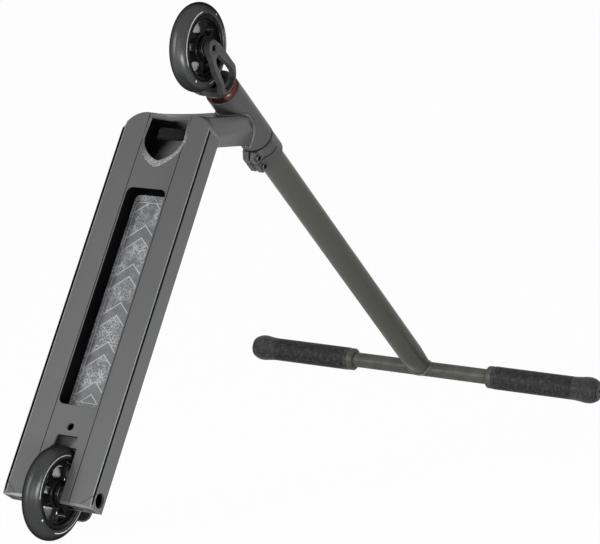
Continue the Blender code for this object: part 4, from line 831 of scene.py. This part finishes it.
def make_deck():
    bottom, top, side = DECK_BOTTOM, DECK_TOP, DECK_HALF
    lip = side - 0.0009
    groove = lip - 0.0026
    half = [(0.02905, bottom), (0.0292, bottom + 0.0007), (0.0298, bottom + 0.0007), (0.02995, bottom)]
    half += [(groove - 0.0003, bottom), (groove + 0.0001, bottom + 0.0004), (groove + 0.0004, bottom + 0.0012)]
    half += [(groove + 0.0008, bottom + 0.0014), (lip - 0.0004, bottom + 0.0014), (lip - 0.0001, bottom + 0.0004)]
    half += [(lip + 0.0001, bottom + 0.0002), (side - 0.0004, bottom + 0.0002), (side - 0.0001, bottom + 0.0005)]
    half += [(side, bottom + 0.001), (side, top - 0.0012), (side - 0.0004, top - 0.0003), (side - 0.0012, top)]
    section = half + [(-y, z) for y, z in reversed(half)]
    deck = plate_piece("deck_milled", section, DECK_TAIL, DECK_FRONT + 0.012, ENDWAYS)

    wide, start, beyond = side + 0.01, DECK_FRONT - DECK_CORNER, DECK_FRONT + 0.022
    levels = []
    for raised, height in ((0.0, bottom - CUT), (1.0, top + CUT)):
        nose = front_half(raised)
        ring = nose + [(x, -y) for x, y in reversed(nose[:-1])]
        ring += [(start, -wide), (beyond, -wide), (beyond, wide), (start, wide)]
        levels.append(sheet_of(ring, height))
    carved(deck, drawn_piece("nose", levels))

    tail, below, above = DECK_TAIL - CUT, bottom - CUT, CHANNEL_FLOOR + CUT
    for sign in (1, -1):
        inner, outer = sorted((sign * WEB_OUTSIDE, sign * (side - 0.003)))
        chamber = rounded(inner, outer, CHANNEL_FLOOR, CHANNEL_ROOF, 0.0012, 4)
        carved(deck, plate_piece("chamber", chamber, tail, DECK_FRONT - 0.027, ENDWAYS))
    channel = rounded(-WEB_INSIDE, WEB_INSIDE, CHANNEL_FLOOR, CHANNEL_ROOF, 0.001, 4)
    carved(deck, plate_piece("channel", channel, tail, MOUTH_FRONT, ENDWAYS))
    carved(deck, plate_piece("mouth", both_sides(mouth_half()), below, above))
    rim = [sheet_of(both_sides(mouth_half(0.0075)), below), sheet_of(both_sides(mouth_half()), bottom + 0.0016)]
    carved(deck, drawn_piece("mouth_rim", rim))
    pocket = rounded(0.1035, DECK_FRONT - 0.0985, -0.0273, 0.0273, 0.008, 10)
    carved(deck, plate_piece("pocket", pocket, below, above))
    carved(deck, block_piece("slot_below", (tail, -SLOT_HALF, below), (0.053, SLOT_HALF, above)))
    carved(deck, plate_piece("notch", rounded(0.045, 0.067, -NOTCH_HALF, NOTCH_HALF, 0.004, 8), below, above))
    carved(deck, block_piece("slot_above", (tail, -SLOT_HALF, CHANNEL_ROOF - CUT), (0.0585, SLOT_HALF, top + CUT)))
    neck_slot = rounded(DECK_FRONT - 0.025, DECK_FRONT - 0.0085, -0.0262, 0.0262, 0.004, 6)
    carved(deck, plate_piece("neck_slot", neck_slot, CHANNEL_ROOF - CUT, top + CUT))

    chamfer = [(tail, below), (DECK_TAIL + 0.0026 + CUT, below), (tail, bottom + 0.0026 + CUT)]
    carved(deck, plate_piece("tail_chamfer", chamfer, -side - CUT, side + CUT, UPRIGHT))
    along = Vector(FACET).normalized()
    away = Vector((-along.y, along.x))
    foot = Vector((DECK_TAIL, side - FACET[1]))
    reach = Vector((0, FACET[1])).dot(away)
    rise = 0.0022 / reach
    low, far, length = -CUT / rise, 2 * reach, math.hypot(*FACET)
    steps = ((-length, low), (2 * length, low), (2 * length, far), (-length, far))
    corners = [foot + along * distance + away * step for distance, step in steps]
    for sign in (1, -1):
        floor = [(p.x, sign * p.y, bottom - 2 * CUT) for p in corners]
        roof = [(p.x, sign * p.y, bottom + rise * step) for p, (distance, step) in zip(corners, steps)]
        carved(deck, drawn_piece("facet", [floor, roof]))
        axle = ACROSS if sign > 0 else away_from(ACROSS)
        carved(deck, rod_piece(0.0088, side - 0.004, side + CUT, axle, 48))
        carved(deck, rod_piece(0.0044, WEB_INSIDE - CUT, 0.045, axle, 48))
    bolt = Matrix.Translation((BRAKE_BOLT, 0, 0))
    carved(deck, rod_piece(0.0047, below, above, bolt, 32))
    carved(deck, rod_piece(0.0029, CHANNEL_ROOF - CUT, top + CUT, bolt, 32))
    softened(deck, 0.00035, 2, 38)
    cleaned(deck)

    def mouth_edge(centre, normal):
        inside = centre.x > DECK_FRONT - 0.078 and abs(centre.y) < 0.036
        return inside and -0.995 < normal.z < -0.15 and centre.z < bottom + 0.0022

    def tail_edge(centre, normal):
        return -0.995 < normal.z < -0.2 and normal.x < -0.35 and centre.x < DECK_TAIL + 0.0036

    def bare_end(centre, normal):
        return normal.x < -0.9 and centre.x < DECK_TAIL + 0.001

    # The grooves' faces take the painted shade.
    def grooved(centre, normal):
        across = abs(centre.y)
        strip = 0.0289 < across < 0.0301 and bottom + 0.00015 < centre.z < bottom + 0.001
        beside = groove + 0.0001 < across < lip + 0.0002 and bottom + 0.0001 < centre.z < bottom + 0.0016
        return strip or (beside and centre.x > DECK_TAIL + 0.018)

    # The channel, the slots and the mouth take the inside look: painted shade, and painted light where they open.
    def within(centre, normal):
        deep = CHANNEL_FLOOR - 0.0005 < centre.z < CHANNEL_ROOF + 0.0005
        slot = centre.x > DECK_FRONT - 0.027 and abs(centre.y) < 0.0275 and centre.z > CHANNEL_ROOF - 0.0005
        return (deep or slot) and abs(centre.y) < side - 0.0025 and DECK_TAIL + 0.001 < centre.x < DECK_FRONT - 0.0065

    # The walls of the pocket and the mouth take the same painted shade.
    def cut_wall(centre, normal):
        reach = 0.036 if centre.x > DECK_FRONT - 0.08 else 0.0295
        inner = 0.1 < centre.x < DECK_FRONT - 0.0065 and abs(centre.y) < reach
        return inner and abs(normal.z) < 0.15 and bottom + 0.0003 < centre.z < CHANNEL_ROOF

    others = ((inside_shade_and_light, within), (inside_shade_and_light, cut_wall), (groove_shade, grooved), (mouth_rim, mouth_edge))
    others += ((machined, tail_edge), (machined, bare_end))
    settled(deck, PARKED, "deck", "frame_grey", deck_grey, "deck_extrusion", others=others)


def make_trim():
    insert = rounded(0.1045, DECK_FRONT - 0.0995, -0.0263, 0.0263, 0.007, 10)
    low = CHANNEL_ROOF - 0.0011
    film = plate_piece("pocket_insert_film", insert, low, low + 0.0008)
    softened(film, 0.0002, 2)
    settled(film, PARKED, "deck", "print", printed_insert, "pocket_insert")

    wide, front, rear, notch = DECK_HALF - 0.0018, DECK_FRONT - 0.0302, DECK_TAIL + 0.0018, 0.01955
    leaf = 0.0938
    tape = [(rear, notch), (rear, wide), (front, wide), (front, -wide), (rear, -wide), (rear, -notch)]
    tape = bowed(tape + [(leaf, -notch), (leaf, notch)], 0.004, 6)
    sheet = plate_piece("grit_sheet", tape, DECK_TOP + GAP, DECK_TOP + 0.0012)
    softened(sheet, 0.0003, 2)
    settled(sheet, PARKED, "deck", "grip_tape", grit, "grip_tape")

    for side_name, sign in (("left", 1), ("right", -1)):
        inner, outer = sorted((sign * (WEB_OUTSIDE + GAP), sign * (DECK_HALF - 0.0033)))
        outline = rounded(inner, outer, CHANNEL_FLOOR + GAP, CHANNEL_ROOF - GAP, 0.0012, 4)
        plug = plate_piece(f"tail_plug_moulded_{side_name}", outline, DECK_TAIL + GAP, DECK_TAIL + 0.0025, ENDWAYS)
        for step in (-0.25, 0.25):
            y = (inner + outer) / 2 + step * (outer - inner)
            recess = rounded(y - 0.0045, y + 0.0045, CHANNEL_FLOOR + 0.0035, CHANNEL_ROOF - 0.0035, 0.001, 3)
            carved(plug, plate_piece("recess", recess, DECK_TAIL - CUT, DECK_TAIL + 0.0011, ENDWAYS))
        softened(plug, 0.0003, 2)
        settled(plug, PARKED, "deck", "nylon", nylon, f"tail_plug_{side_name}")


def on_steering(up, angle, radius):
    """A point round the steering axis: the angle, in degrees, runs from straight back to the left."""
    angle = math.radians(angle)
    back = -radius * math.cos(angle) * STEER_AHEAD
    return STEER_FOOT + up * STEER_UP + back + Vector((0, radius * math.sin(angle), 0))


def neck_ring(share, inset=0.0003, wall=0.0):
    """The neck's section at a share of its way from the deck to the head tube."""
    corner = front_half(1.0, inset, 3)
    foot = [
        ((NECK_REAR, 0), (0.0935, 0), 0.0), ((NECK_REAR, DECK_HALF - 0.0003), (0.0935, 15), 0.0),
        (corner[1], (0.0695, 57), 0.0), (corner[2], (0.0485, 70), 0.0), (corner[3], (0.0345, 58), 0.4),
        (corner[11], (0.027, 28), 1.0), (corner[19], (0.0245, 0), 1.0),
    ]
    half = []
    for (x, y), (rise, angle), waist in foot:
        start = Vector((x, y, DECK_TOP + GAP))
        end = on_steering(HEAD_BOTTOM + rise, angle, HEAD_RADIUS - 0.0003)
        point = start.lerp(end, share)
        point.x -= 0.0035 * waist * max(0.0, 4 * share * (1 - share))
        half.append(point)
    ring = half + [Vector((p.x, -p.y, p.z)) for p in reversed(half[1:-1])]
    if not wall:
        return ring
    low = Vector([min(p[axis] for p in ring) for axis in range(3)])
    high = Vector([max(p[axis] for p in ring) for axis in range(3)])
    middle, size = (low + high) / 2, high - low
    factor = [max(0.2, 1 - 2 * wall / length) if length > wall else 1.0 for length in size]
    return [Vector([middle[i] + (p[i] - middle[i]) * factor[i] for i in range(3)]) for p in ring]


def make_neck():
    shares = [-0.06] + [i / 12 for i in range(13)] + [1.04]
    neck = drawn_piece("neck_forged", [neck_ring(share) for share in shares])
    softened(neck, 0.0028, 4, 18)
    cleaned(neck)
    shares = (-0.12, 0.0, 0.25, 0.5, 0.75, 1.0, 1.1)
    hollow = drawn_piece("hollow", [neck_ring(share, wall=0.003) for share in shares])
    carved(neck, hollow, block_piece("foot", (0.3, -0.1, -0.04), (WHEELBASE, 0.1, DECK_TOP + GAP)))
    head = Matrix.Translation(STEER_FOOT) @ Matrix.Rotation(STEER_ANGLE - math.pi / 2, 4, "Y")
    carved(neck, rod_piece(HEAD_RADIUS + GAP, CROWN_TOP, HEAD_TOP + HEAD_RADIUS, head, 96))
    low, high = Vector((DECK_FRONT - 0.016, 0, DECK_TOP)), on_steering(HEAD_BOTTOM + 0.058, 0, 0)

    def hollow_side(centre, normal):
        share = max(0.0, min(1.0, (centre - low).dot(high - low) / (high - low).length_squared))
        return normal.dot(centre - low.lerp(high, share)) < 0 and centre.z > DECK_TOP + 0.0004

    # The neck's inside faces take the bare grey with its painted light.
    settled(neck, PARKED, "deck", "frame_grey", frame_grey, "neck", others=((raw_and_lit_grey, hollow_side),))

    seam = bead("head_tube_weld", neck_ring(1.0), 0.0023, 0.2, loop=True)
    settled(seam, PARKED, "deck", "frame_grey", weld)
    line = [Vector((NECK_REAR - 0.0006, y, DECK_TOP + 0.0006)) for y in (0.06, 0.03, 0.0, -0.03, -0.06)]
    settled(bead("deck_weld", line, 0.0017, 0.16), PARKED, "deck", "frame_grey", weld)


def make_headset():
    low, high, radius = HEAD_BOTTOM, HEAD_TOP, HEAD_RADIUS
    head = [
        (0.0205, low + 0.007), (0.0205, low + 0.0004), (0.0209, low), (radius - 0.0009, low),
        (radius - 0.0002, low + 0.0003), (radius, low + 0.001), (radius, high - 0.001),
        (radius - 0.0002, high - 0.0003), (radius - 0.0009, high), (0.0209, high), (0.0205, high - 0.0004),
        (0.0205, high - 0.007), (0.0165, high - 0.007), (0.0165, low + 0.007),
    ]
    tube = ring_piece("head_tube_turned", head, 128, hollow=True)
    settled(tube, STEERING, "deck", "frame_grey", frame_grey, "head_tube")

    collar, inner = 0.0155, 0.0146
    race = [
        (collar, low + 0.0035), (collar, low - GAP), (0.0206, low - GAP), (0.0214, low - 0.0006),
        (0.0218, low - 0.0013), (0.0217, low - 0.003), (0.0213, low - 0.0034), (0.0213, low - 0.004),
        (0.0215, low - 0.0045), (0.0206, CROWN_TOP + 0.0008), (0.0202, CROWN_TOP + GAP),
        (inner, CROWN_TOP + GAP), (inner, low + 0.0035),
    ]
    ring = ring_piece("crown_race_anodised", race, 128, hollow=True)
    settled(ring, STEERING, "steering", "copper_ring", copper, "crown_race")

    top = CLAMP_BOTTOM - GAP
    cap = [
        (radius - 0.001, top), (radius - 0.0003, top - 0.0003), (radius, top - 0.001),
        (radius, high + 0.001), (radius - 0.0004, high + GAP), (collar, high + GAP), (collar, high - 0.0035),
        (inner, high - 0.0035), (inner, top),
    ]
    ring = ring_piece("headset_cap_turned", cap, 128, hollow=True)
    settled(ring, STEERING, "steering", "black_metal", black_metal, "headset_cap")


def make_fork():
    crown, radius, column, top = CROWN_TOP, 0.0205, 0.0168, 0.216
    shoulder = crown - 0.0125
    stem = [(column, shoulder), (column, crown - 0.0062), (radius, crown - 0.0042), (radius, crown - 0.0016)]
    stem += [(radius - 0.0005, crown - 0.0006), (radius - 0.0016, crown)]
    fork = ring_piece("fork_forged", stem + [(0.0143, crown + 0.0001), (0.0143, top - 0.0008), (0.0135, top)], 96)
    boss, boss_radius, bottom = (FORK_OFFSET, 0.0), 0.0105, 0.0105
    back, front = -radius, radius + 0.001
    corners = [(back, crown - 0.004), (back - 0.002, shoulder - 0.006), (back + 0.004, shoulder - 0.012)]
    corners += [(back + 0.006, shoulder - 0.022), (back + 0.009, shoulder - 0.036)]
    corners += [(boss[0] - boss_radius - 0.003, bottom + 0.002)]
    corners += arc(boss, boss_radius, 180, 360, 20)
    corners += [(front, bottom), (front, shoulder - 0.002), (front - 0.003, shoulder + 0.004)]
    outline = bowed(corners + [(front - 0.008, crown - 0.004)], 0.006, 5)
    x = boss[0]
    window = [
        (x + 0.002, bottom + 0.004), (x + 0.0032, bottom + 0.019), (x + 0.0062, shoulder - 0.0135),
        (x + 0.006, shoulder - 0.003), (x + 0.0036, shoulder + 0.004), (x - 0.002, shoulder + 0.0066),
        (x - 0.0093, shoulder + 0.0068), (x - 0.019, shoulder + 0.0035), (x - 0.0248, shoulder + 0.0005),
        (x - 0.0252, shoulder - 0.003), (x - 0.0208, shoulder - 0.006), (x - 0.0175, shoulder - 0.014),
        (x - 0.0145, shoulder - 0.025), (x - 0.0125, bottom + 0.0135), (x - 0.01, bottom + 0.006),
        (x - 0.0065, bottom + 0.0028),
    ]
    window = bowed(window, 0.004, 4)
    inside, outside, head = 0.0145, 0.022, 0.0062
    seat = outside - 0.0045
    at_boss = Matrix.Translation((FORK_OFFSET, 0, 0)) @ ACROSS
    for low, high in ((inside - CUT, outside), (-outside, -inside + CUT)):
        leg = plate_piece("leg", outline, low, high, UPRIGHT)
        carved(leg, plate_piece("window", window, low - CUT, high + CUT, UPRIGHT))
        carved(leg, rod_piece(0.0044, low - CUT, high + CUT, at_boss, 48))
        welded(fork, leg)
    bridge = [(back - 0.001, shoulder - 0.01), (back + 0.001, crown - 0.005), (-0.012, crown - 0.005)]
    bridge += [(-0.012, shoulder), (-0.016, shoulder - 0.004)]
    welded(fork, plate_piece("bridge", bridge, -outside + 0.001, outside - 0.001, UPRIGHT))
    step, far = 0.00625, 0.0615
    shoulders = [(far, crown + step), (far, crown - 5 * step), (radius + 0.015, crown - 5 * step)]
    shoulders += [(radius + 0.0105, crown - 2.6 * step), (radius + 0.0065, crown - 1.4 * step)]
    shoulders += [(radius + 0.0037, crown - 0.8 * step), (radius + 0.0015, crown - 0.35 * step)]
    shoulders += [(radius, crown - 0.1 * step), (radius, crown + step)]
    carved(fork, ring_piece("shoulders", shoulders, 96, hollow=True), rod_piece(0.0115, shoulder - 0.03, top + CUT))
    carved(fork, rod_piece(WHEEL_RADIUS + 0.0062, -inside, inside, at_boss, 128))
    carved(fork, rod_piece(head + 0.0007, seat, outside + CUT, at_boss, 48))
    softened(fork, 0.0009, 3, 40, close=0.0002)
    cleaned(fork, 0.00001)

    # The rim round the bolt's seat: worn metal with a painted highlight.
    def seat_rim(centre, normal):
        return math.hypot(centre.x - FORK_OFFSET, centre.z) < head + 0.0022 and 0.2 < abs(normal.y) < 0.97

    settled(fork, STEERING, "steering", "black_metal", fork_grey, "fork", others=((bolt_edge, seat_rim),))
    make_axle("front", FRONT_AXLE, "steering", head, inside, seat + GAP, outside + GAP, 0.0475)


def make_clamp():
    turned = STEERING @ Matrix.Rotation(math.radians(5), 4, "Z")
    low, high, radius, ear, half = CLAMP_BOTTOM, CLAMP_TOP, 0.022, 0.0305, 0.0115
    middle = (low + high) / 2
    root = CLAMP_BOLT + CLAMP_HEAD + 0.0013
    ring = arc((0, 0), radius, -122, 122, 60)
    outline = ring + [(root, half)] + bowed([(-ear, half), (-ear, -half)], 0.002, 5) + [(root, -half)]
    clamp = plate_piece("clamp_milled", outline, low, high)
    carved(clamp, rod_piece(TUBE_RADIUS + GAP, low - CUT, high + CUT, steps=96))
    carved(clamp, block_piece("slit", (-0.036, -0.0015, low - CUT), (0, 0.0015, high + CUT)))
    far = 0.0355
    relief = rounded(-far, 0.002, middle - 0.001, middle + 0.001, 0.0009, 4)
    carved(clamp, plate_piece("relief", relief, -0.023, 0.023, UPRIGHT))
    chamfer = [(-far, low - CUT), (-ear + 0.009, low - CUT), (-ear - CUT, low + 0.008), (-far, low + 0.008)]
    carved(clamp, plate_piece("chamfer", chamfer, -0.022, 0.022, UPRIGHT))
    seat = half - CLAMP_HEAD * 0.8
    for index, step in enumerate((-0.0095, 0.0095), 1):
        there = Matrix.Translation((CLAMP_BOLT, 0, middle + step)) @ ACROSS
        carved(clamp, rod_piece(0.0049, seat, half + CUT, there, 40))
        carved(clamp, rod_piece(0.0032, -half - CUT, seat + 0.0002, there, 40))
        bolt = cap_bolt(f"clamp_bolt_socketed_{index}", 0.0029, CLAMP_HEAD, CLAMP_HEAD, seat + half - CUT, 0.004)
        place = turned @ there @ Matrix.Translation((0, 0, seat + GAP))
        # The head's outer ring: worn metal with a painted highlight.
        rubbed_and_highlit = ((bolt_edge, rim_of(CLAMP_HEAD)),)
        settled(bolt, place, "steering", "black_steel", black_steel, f"clamp_bolt_{index}", others=rubbed_and_highlit)
    softened(clamp, 0.0006, 3, 38)
    cleaned(clamp)
    settled(clamp, turned, "steering", "black_metal", clamp_grey, "clamp")


def make_bars():
    steps, foot, top = 96, CLAMP_BOTTOM + GAP, BAR_HEIGHT - 0.003
    taper = top - 0.045

    def sections(radius, low, high):
        ahead_end = BAR_RADIUS + 0.0012 - (TUBE_RADIUS - radius)
        rings = [(low, radius, radius)]
        for i in range(13):
            share = i / 12
            ease = share * share * (3 - 2 * share)
            height = taper + (high - taper) * share
            rings.append((height, radius + (ahead_end - radius) * ease, radius + 0.0015 * ease))
        turns = [2 * math.pi * i / steps for i in range(steps)]
        return [[(a * math.cos(t), b * math.sin(t), height) for t in turns] for height, a, b in rings]

    down = drawn_piece("down_tube_drawn", sections(TUBE_RADIUS, foot, top))
    carved(down, drawn_piece("bore", sections(TUBE_RADIUS - 0.0016, foot - CUT, top + CUT)))
    bar = Matrix.Translation((0, 0, BAR_HEIGHT)) @ ACROSS
    carved(down, rod_piece(BAR_RADIUS + GAP, -0.035, 0.035, bar, 96))
    carved(down, block_piece("slit", (-TUBE_RADIUS - CUT, -0.0015, foot - CUT), (0, 0.0015, CLAMP_TOP - 0.002)))
    softened(down, 0.0004, 2, 50)
    settled(down, STEERING, "steering", "bar_grey", bar_grey, "down_tube", smooth=40)
    joint = []
    for i in range(28):
        t = 2 * math.pi * i / 28
        x, y = 0.0123 * math.cos(t), 0.019 * math.sin(t)
        across = min(abs(x), BAR_RADIUS)
        joint.append(Vector((x, y, BAR_HEIGHT - max(0.003, math.sqrt(BAR_RADIUS**2 - across**2)) - 0.0003)))
    seam = bead("crossbar_weld", joint, 0.0018, 0.15, loop=True)
    settled(seam, STEERING, "steering", "bar_grey", bar_weld)

    reach = BAR_HALF - 0.003
    inside = BAR_RADIUS - 0.0022
    tube = [(BAR_RADIUS - 0.0004, reach), (inside, reach), (inside, -reach), (BAR_RADIUS - 0.0004, -reach)]
    tube += [(BAR_RADIUS, -reach + 0.0004), (BAR_RADIUS, reach - 0.0004)]
    settled(ring_piece("crossbar_drawn", tube, 96, hollow=True), BAR, "steering", "bar_grey", bar_grey, "crossbar")

    for side_name, place in (("left", BAR), ("right", away_from(BAR))):
        make_grip(side_name, place)


def make_grip(side_name, place):
    """A rubber grip with fine ribs, its collar at the inner end and the plug in the bar's end."""
    end = BAR_HALF
    root, tip, bore = end - GRIP_LENGTH, end - 0.0015, BAR_RADIUS + GAP
    flange = tip - 0.0135
    flare = flange - 0.024
    profile = [(bore, tip), (FLANGE_RADIUS - 0.0054, tip), (FLANGE_RADIUS - 0.0048, tip - 0.0003)]
    for radius, low in ((FLANGE_RADIUS - 0.0036, tip - 0.0022), (FLANGE_RADIUS - 0.0024, tip - 0.0042)):
        profile += [(radius, low), (radius - 0.0004, low - 0.0002)]
        profile += [(radius - 0.0003, low - 0.0006), (radius + 0.0003, low - 0.0008)]
    profile += [(FLANGE_RADIUS - 0.0011, tip - 0.0074), (FLANGE_RADIUS - 0.0003, tip - 0.0104)]
    profile += [(FLANGE_RADIUS, flange), (FLANGE_RADIUS, flange - 0.004)]
    profile += [(FLANGE_RADIUS - 0.0003, flange - 0.007), (FLANGE_RADIUS - 0.0009, flange - 0.0105)]
    profile += [(GRIP_RADIUS + 0.0005, flange - 0.0165), (GRIP_RADIUS + 0.0001, flare + 0.003), (GRIP_RADIUS, flare)]
    first, last, pitch = root + 0.0135, flare - 0.001, 0.0021
    ribs = int((last - first) / pitch)
    for i in range(ribs):
        high = last - i * pitch
        profile += [(GRIP_RADIUS - 0.0008, high), (GRIP_RADIUS - 0.0008, high - 0.0006)]
        profile += [(GRIP_RADIUS, high - 0.0009), (GRIP_RADIUS, high - 0.0018)]
    profile += [(GRIP_RADIUS, root + 0.0118), (GRIP_RADIUS - 0.0004, root + 0.011)]
    profile += [(GRIP_RADIUS - 0.0012, root + 0.0105), (bore, root + 0.0105)]
    grip = ring_piece(f"grip_ribbed_{side_name}", profile, 72, hollow=True)
    settled(grip, place, "steering", "rubber", grip_rubber, f"grip_{side_name}", smooth=40)

    low, outer = root + 0.0102, GRIP_RADIUS - 0.0004
    collar = [(outer - 0.0002, low), (outer, low - 0.0002), (outer, root + 0.003), (outer - 0.0004, root + 0.0018)]
    collar += [(outer - 0.0012, root + 0.001), (BAR_RADIUS + 0.0024, root), (bore, root), (bore, low)]
    ring = ring_piece(f"grip_ring_smooth_{side_name}", collar, 72, hollow=True)
    settled(ring, place, "steering", "bar_grey", bar_grey, f"grip_ring_{side_name}")

    inside = BAR_RADIUS - 0.0025
    plug = [(0.01, end), (0.0114, end - 0.0002), (0.0119, end - 0.0006), (0.012, tip + 0.0005)]
    plug += [(0.0118, tip + GAP), (inside, tip + GAP)]
    plug += [(inside, end - 0.018), (0.006, end - 0.018), (0.006, end - 0.004)]
    plug += [(0.0025, end - 0.004), (0.0025, end - 0.0005), (0.003, end - 0.0001), (0.007, end - 0.0001)]
    plug += [(0.0072, end - 0.0006), (0.0084, end - 0.0006), (0.0086, end)]
    cap = ring_piece(f"bar_end_moulded_{side_name}", plug, 64, hollow=True)
    settled(cap, place, "steering", "nylon", nylon, f"bar_end_{side_name}")


def make_brake():
    inner, outer = WHEEL_RADIUS + 0.003, WHEEL_RADIUS + 0.007
    low = DECK_TOP + GAP
    sole = low + LEAF + 0.0008
    instep = sole + 0.0045
    start, stop = math.degrees(math.asin(sole / inner)), 103
    outline = arc((0, 0), inner, start, stop, 40)
    outline += arc((0, 0), outer, stop, math.degrees(math.asin(instep / outer)), 40)
    outline += [(0.0715 - 0.00225, instep), (0.0711, instep - 0.0009), (0.0715, sole + 0.00225), (0.0715, sole)]
    fender = plate_piece("brake_fender_moulded", outline, -0.0165, 0.0165, UPRIGHT)
    end = outer * math.cos(math.radians(stop))
    for sign in (1, -1):
        (x, y), reach = (end + 0.01, 0.0065), 0.011
        corner = [(x, y + reach), (x - reach, y + reach), (x - reach, y), *arc((x, y), 0.01, 180, 90, 16)]
        carved(fender, plate_piece("corner", [(x, sign * y) for x, y in corner], 0, 0.065))
    for angle in (38, 47, 56, 65, 74, 83, 92):
        groove = block_piece("tread", (outer - 0.0006, -0.012, -0.0008), (outer + CUT, 0.012, 0.0008))
        groove.data.transform(Matrix.Rotation(-math.radians(angle), 4, "Y"))
        carved(fender, groove)
    softened(fender, 0.0005, 2, 40)
    settled(fender, PARKED, "brake", "nylon", nylon, "brake_fender")

    leaf = plate_piece("brake_leaf_sprung", rounded(0.0594, 0.092, -0.014, 0.014, 0.003, 8), low, low + LEAF)
    at_bolt = Matrix.Translation((BRAKE_BOLT, 0, 0))
    carved(leaf, rod_piece(0.0029, low - CUT, low + 0.003, at_bolt, 32))
    softened(leaf, 0.0003, 2)
    settled(leaf, PARKED, "deck", "steel", steel, "brake_leaf")
    head = away_from(PARKED @ Matrix.Translation((BRAKE_BOLT, 0, CHANNEL_ROOF - GAP)))
    bolt = cap_bolt("brake_bolt_socketed", 0.0026, 0.0043, 0.0043, 0.0023 + LEAF + 0.0009 + 0.006, 0.003)
    settled(bolt, head, "deck", "black_steel", black_steel, "brake_bolt")
    nut = hex_nut("brake_nut_locking", 0.0029, 0.008, 0.004)
    settled(nut, PARKED @ Matrix.Translation((BRAKE_BOLT, 0, low + 0.0018)), "deck", "steel", steel, "brake_nut")


make_deck()
make_trim()
make_neck()
make_headset()
make_fork()
make_clamp()
make_bars()
make_wheel("front", FRONT_AXLE, "front_wheel", math.radians(-5), front_tyre_look)
make_wheel("rear", REAR_AXLE, "rear_wheel", math.radians(142.5), rear_tyre_look)
make_axle("rear", REAR_AXLE, "deck", 0.0065, WEB_INSIDE, WEB_OUTSIDE + GAP, WEB_OUTSIDE + GAP, 0.0706)
make_brake()

inner_parts = {"compression_cap": black_metal, "compression_bolt": black_steel}
for name in ("lower_bearing", "upper_bearing", "shim", "star_nut", "front_bearing_spacer", "rear_bearing_spacer"):
    inner_parts[name] = steel
for name, look in inner_parts.items():
    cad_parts[name].data.materials.clear()
    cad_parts[name].data.materials.append(look)


# Stage: a plain pale floor, white to the camera, that keeps the shadow.
def pale_floor():
    nothing_selected()
    bpy.ops.mesh.primitive_plane_add(size=60)
    floor = bpy.context.object
    floor.name = "studio_floor"
    look, tree, shader = blank_look("pale studio floor", 0.9)
    shader.inputs["Base Color"].default_value = rgb(0.9)
    glow = node(tree, "ShaderNodeEmission", {"Color": (1, 1, 1, 1), "Strength": 1.0})
    seen = tree.nodes.new("ShaderNodeLightPath").outputs
    white = times(larger(seen["Is Camera Ray"], seen["Is Glossy Ray"]), 0.98)
    mix = node(tree, "ShaderNodeMixShader", {0: white, 1: shader.outputs[0], 2: glow.outputs[0]})
    tree.links.new(mix.outputs[0], tree.nodes["Material Output"].inputs["Surface"])
    floor.data.materials.append(look)


def studio_light(name, size, energy, location, target):
    light = bpy.data.lights.new(name, "AREA")
    light.shape = "RECTANGLE"
    light.size, light.size_y = size
    light.energy = energy
    holder = bpy.data.objects.new(name, light)
    bpy.context.scene.collection.objects.link(holder)
    holder.location = location
    holder.rotation_euler = (Vector(target) - Vector(location)).to_track_quat("-Z", "Y").to_euler()
    holder.visible_camera = False
    return holder


pale_floor()
studio_light("window", (0.5, 1.7), 28.0, (-2.15, 0.95, 0.85), (-0.3, 0, 0.35))
studio_light("soft front", (1.2, 1.2), 5.0, (-2.1, -0.9, 0.7), (-0.3, 0, 0.35))
studio_light("right fill", (0.6, 0.4), 11.0, (-0.62, -0.95, 0.06), (-0.42, 0, 0.1))
studio_light("low bounce", (0.9, 0.7), 4.0, (-1.25, -0.45, 0.04), (-0.42, 0, 0.15))

world = bpy.data.worlds.new("studio")
bpy.context.scene.world = world
world.use_nodes = True
tree = world.node_tree
paths = tree.nodes.new("ShaderNodeLightPath").outputs
direct = larger(paths["Is Camera Ray"], larger(paths["Is Glossy Ray"], paths["Is Transmission Ray"]))
around = tree.nodes["Background"]
around.inputs["Color"].default_value = (1, 1, 1, 1)
tree.links.new(ranged(direct, 0, 1, 0.18, 1.0), around.inputs["Strength"])

camera = bpy.data.cameras.new("photograph")
camera.lens = 145.5003
camera.sensor_width = 36
camera.clip_start, camera.clip_end = 0.05, 100
viewer = bpy.data.objects.new("photograph", camera)
bpy.context.scene.collection.objects.link(viewer)
viewer.location = (-2.6322, -1.56151, 0.81989)
viewer.rotation_euler = (1.383705, -0.007284, -1.053092)
bpy.context.scene.camera = viewer
bpy.context.scene.view_settings.view_transform = "Standard"
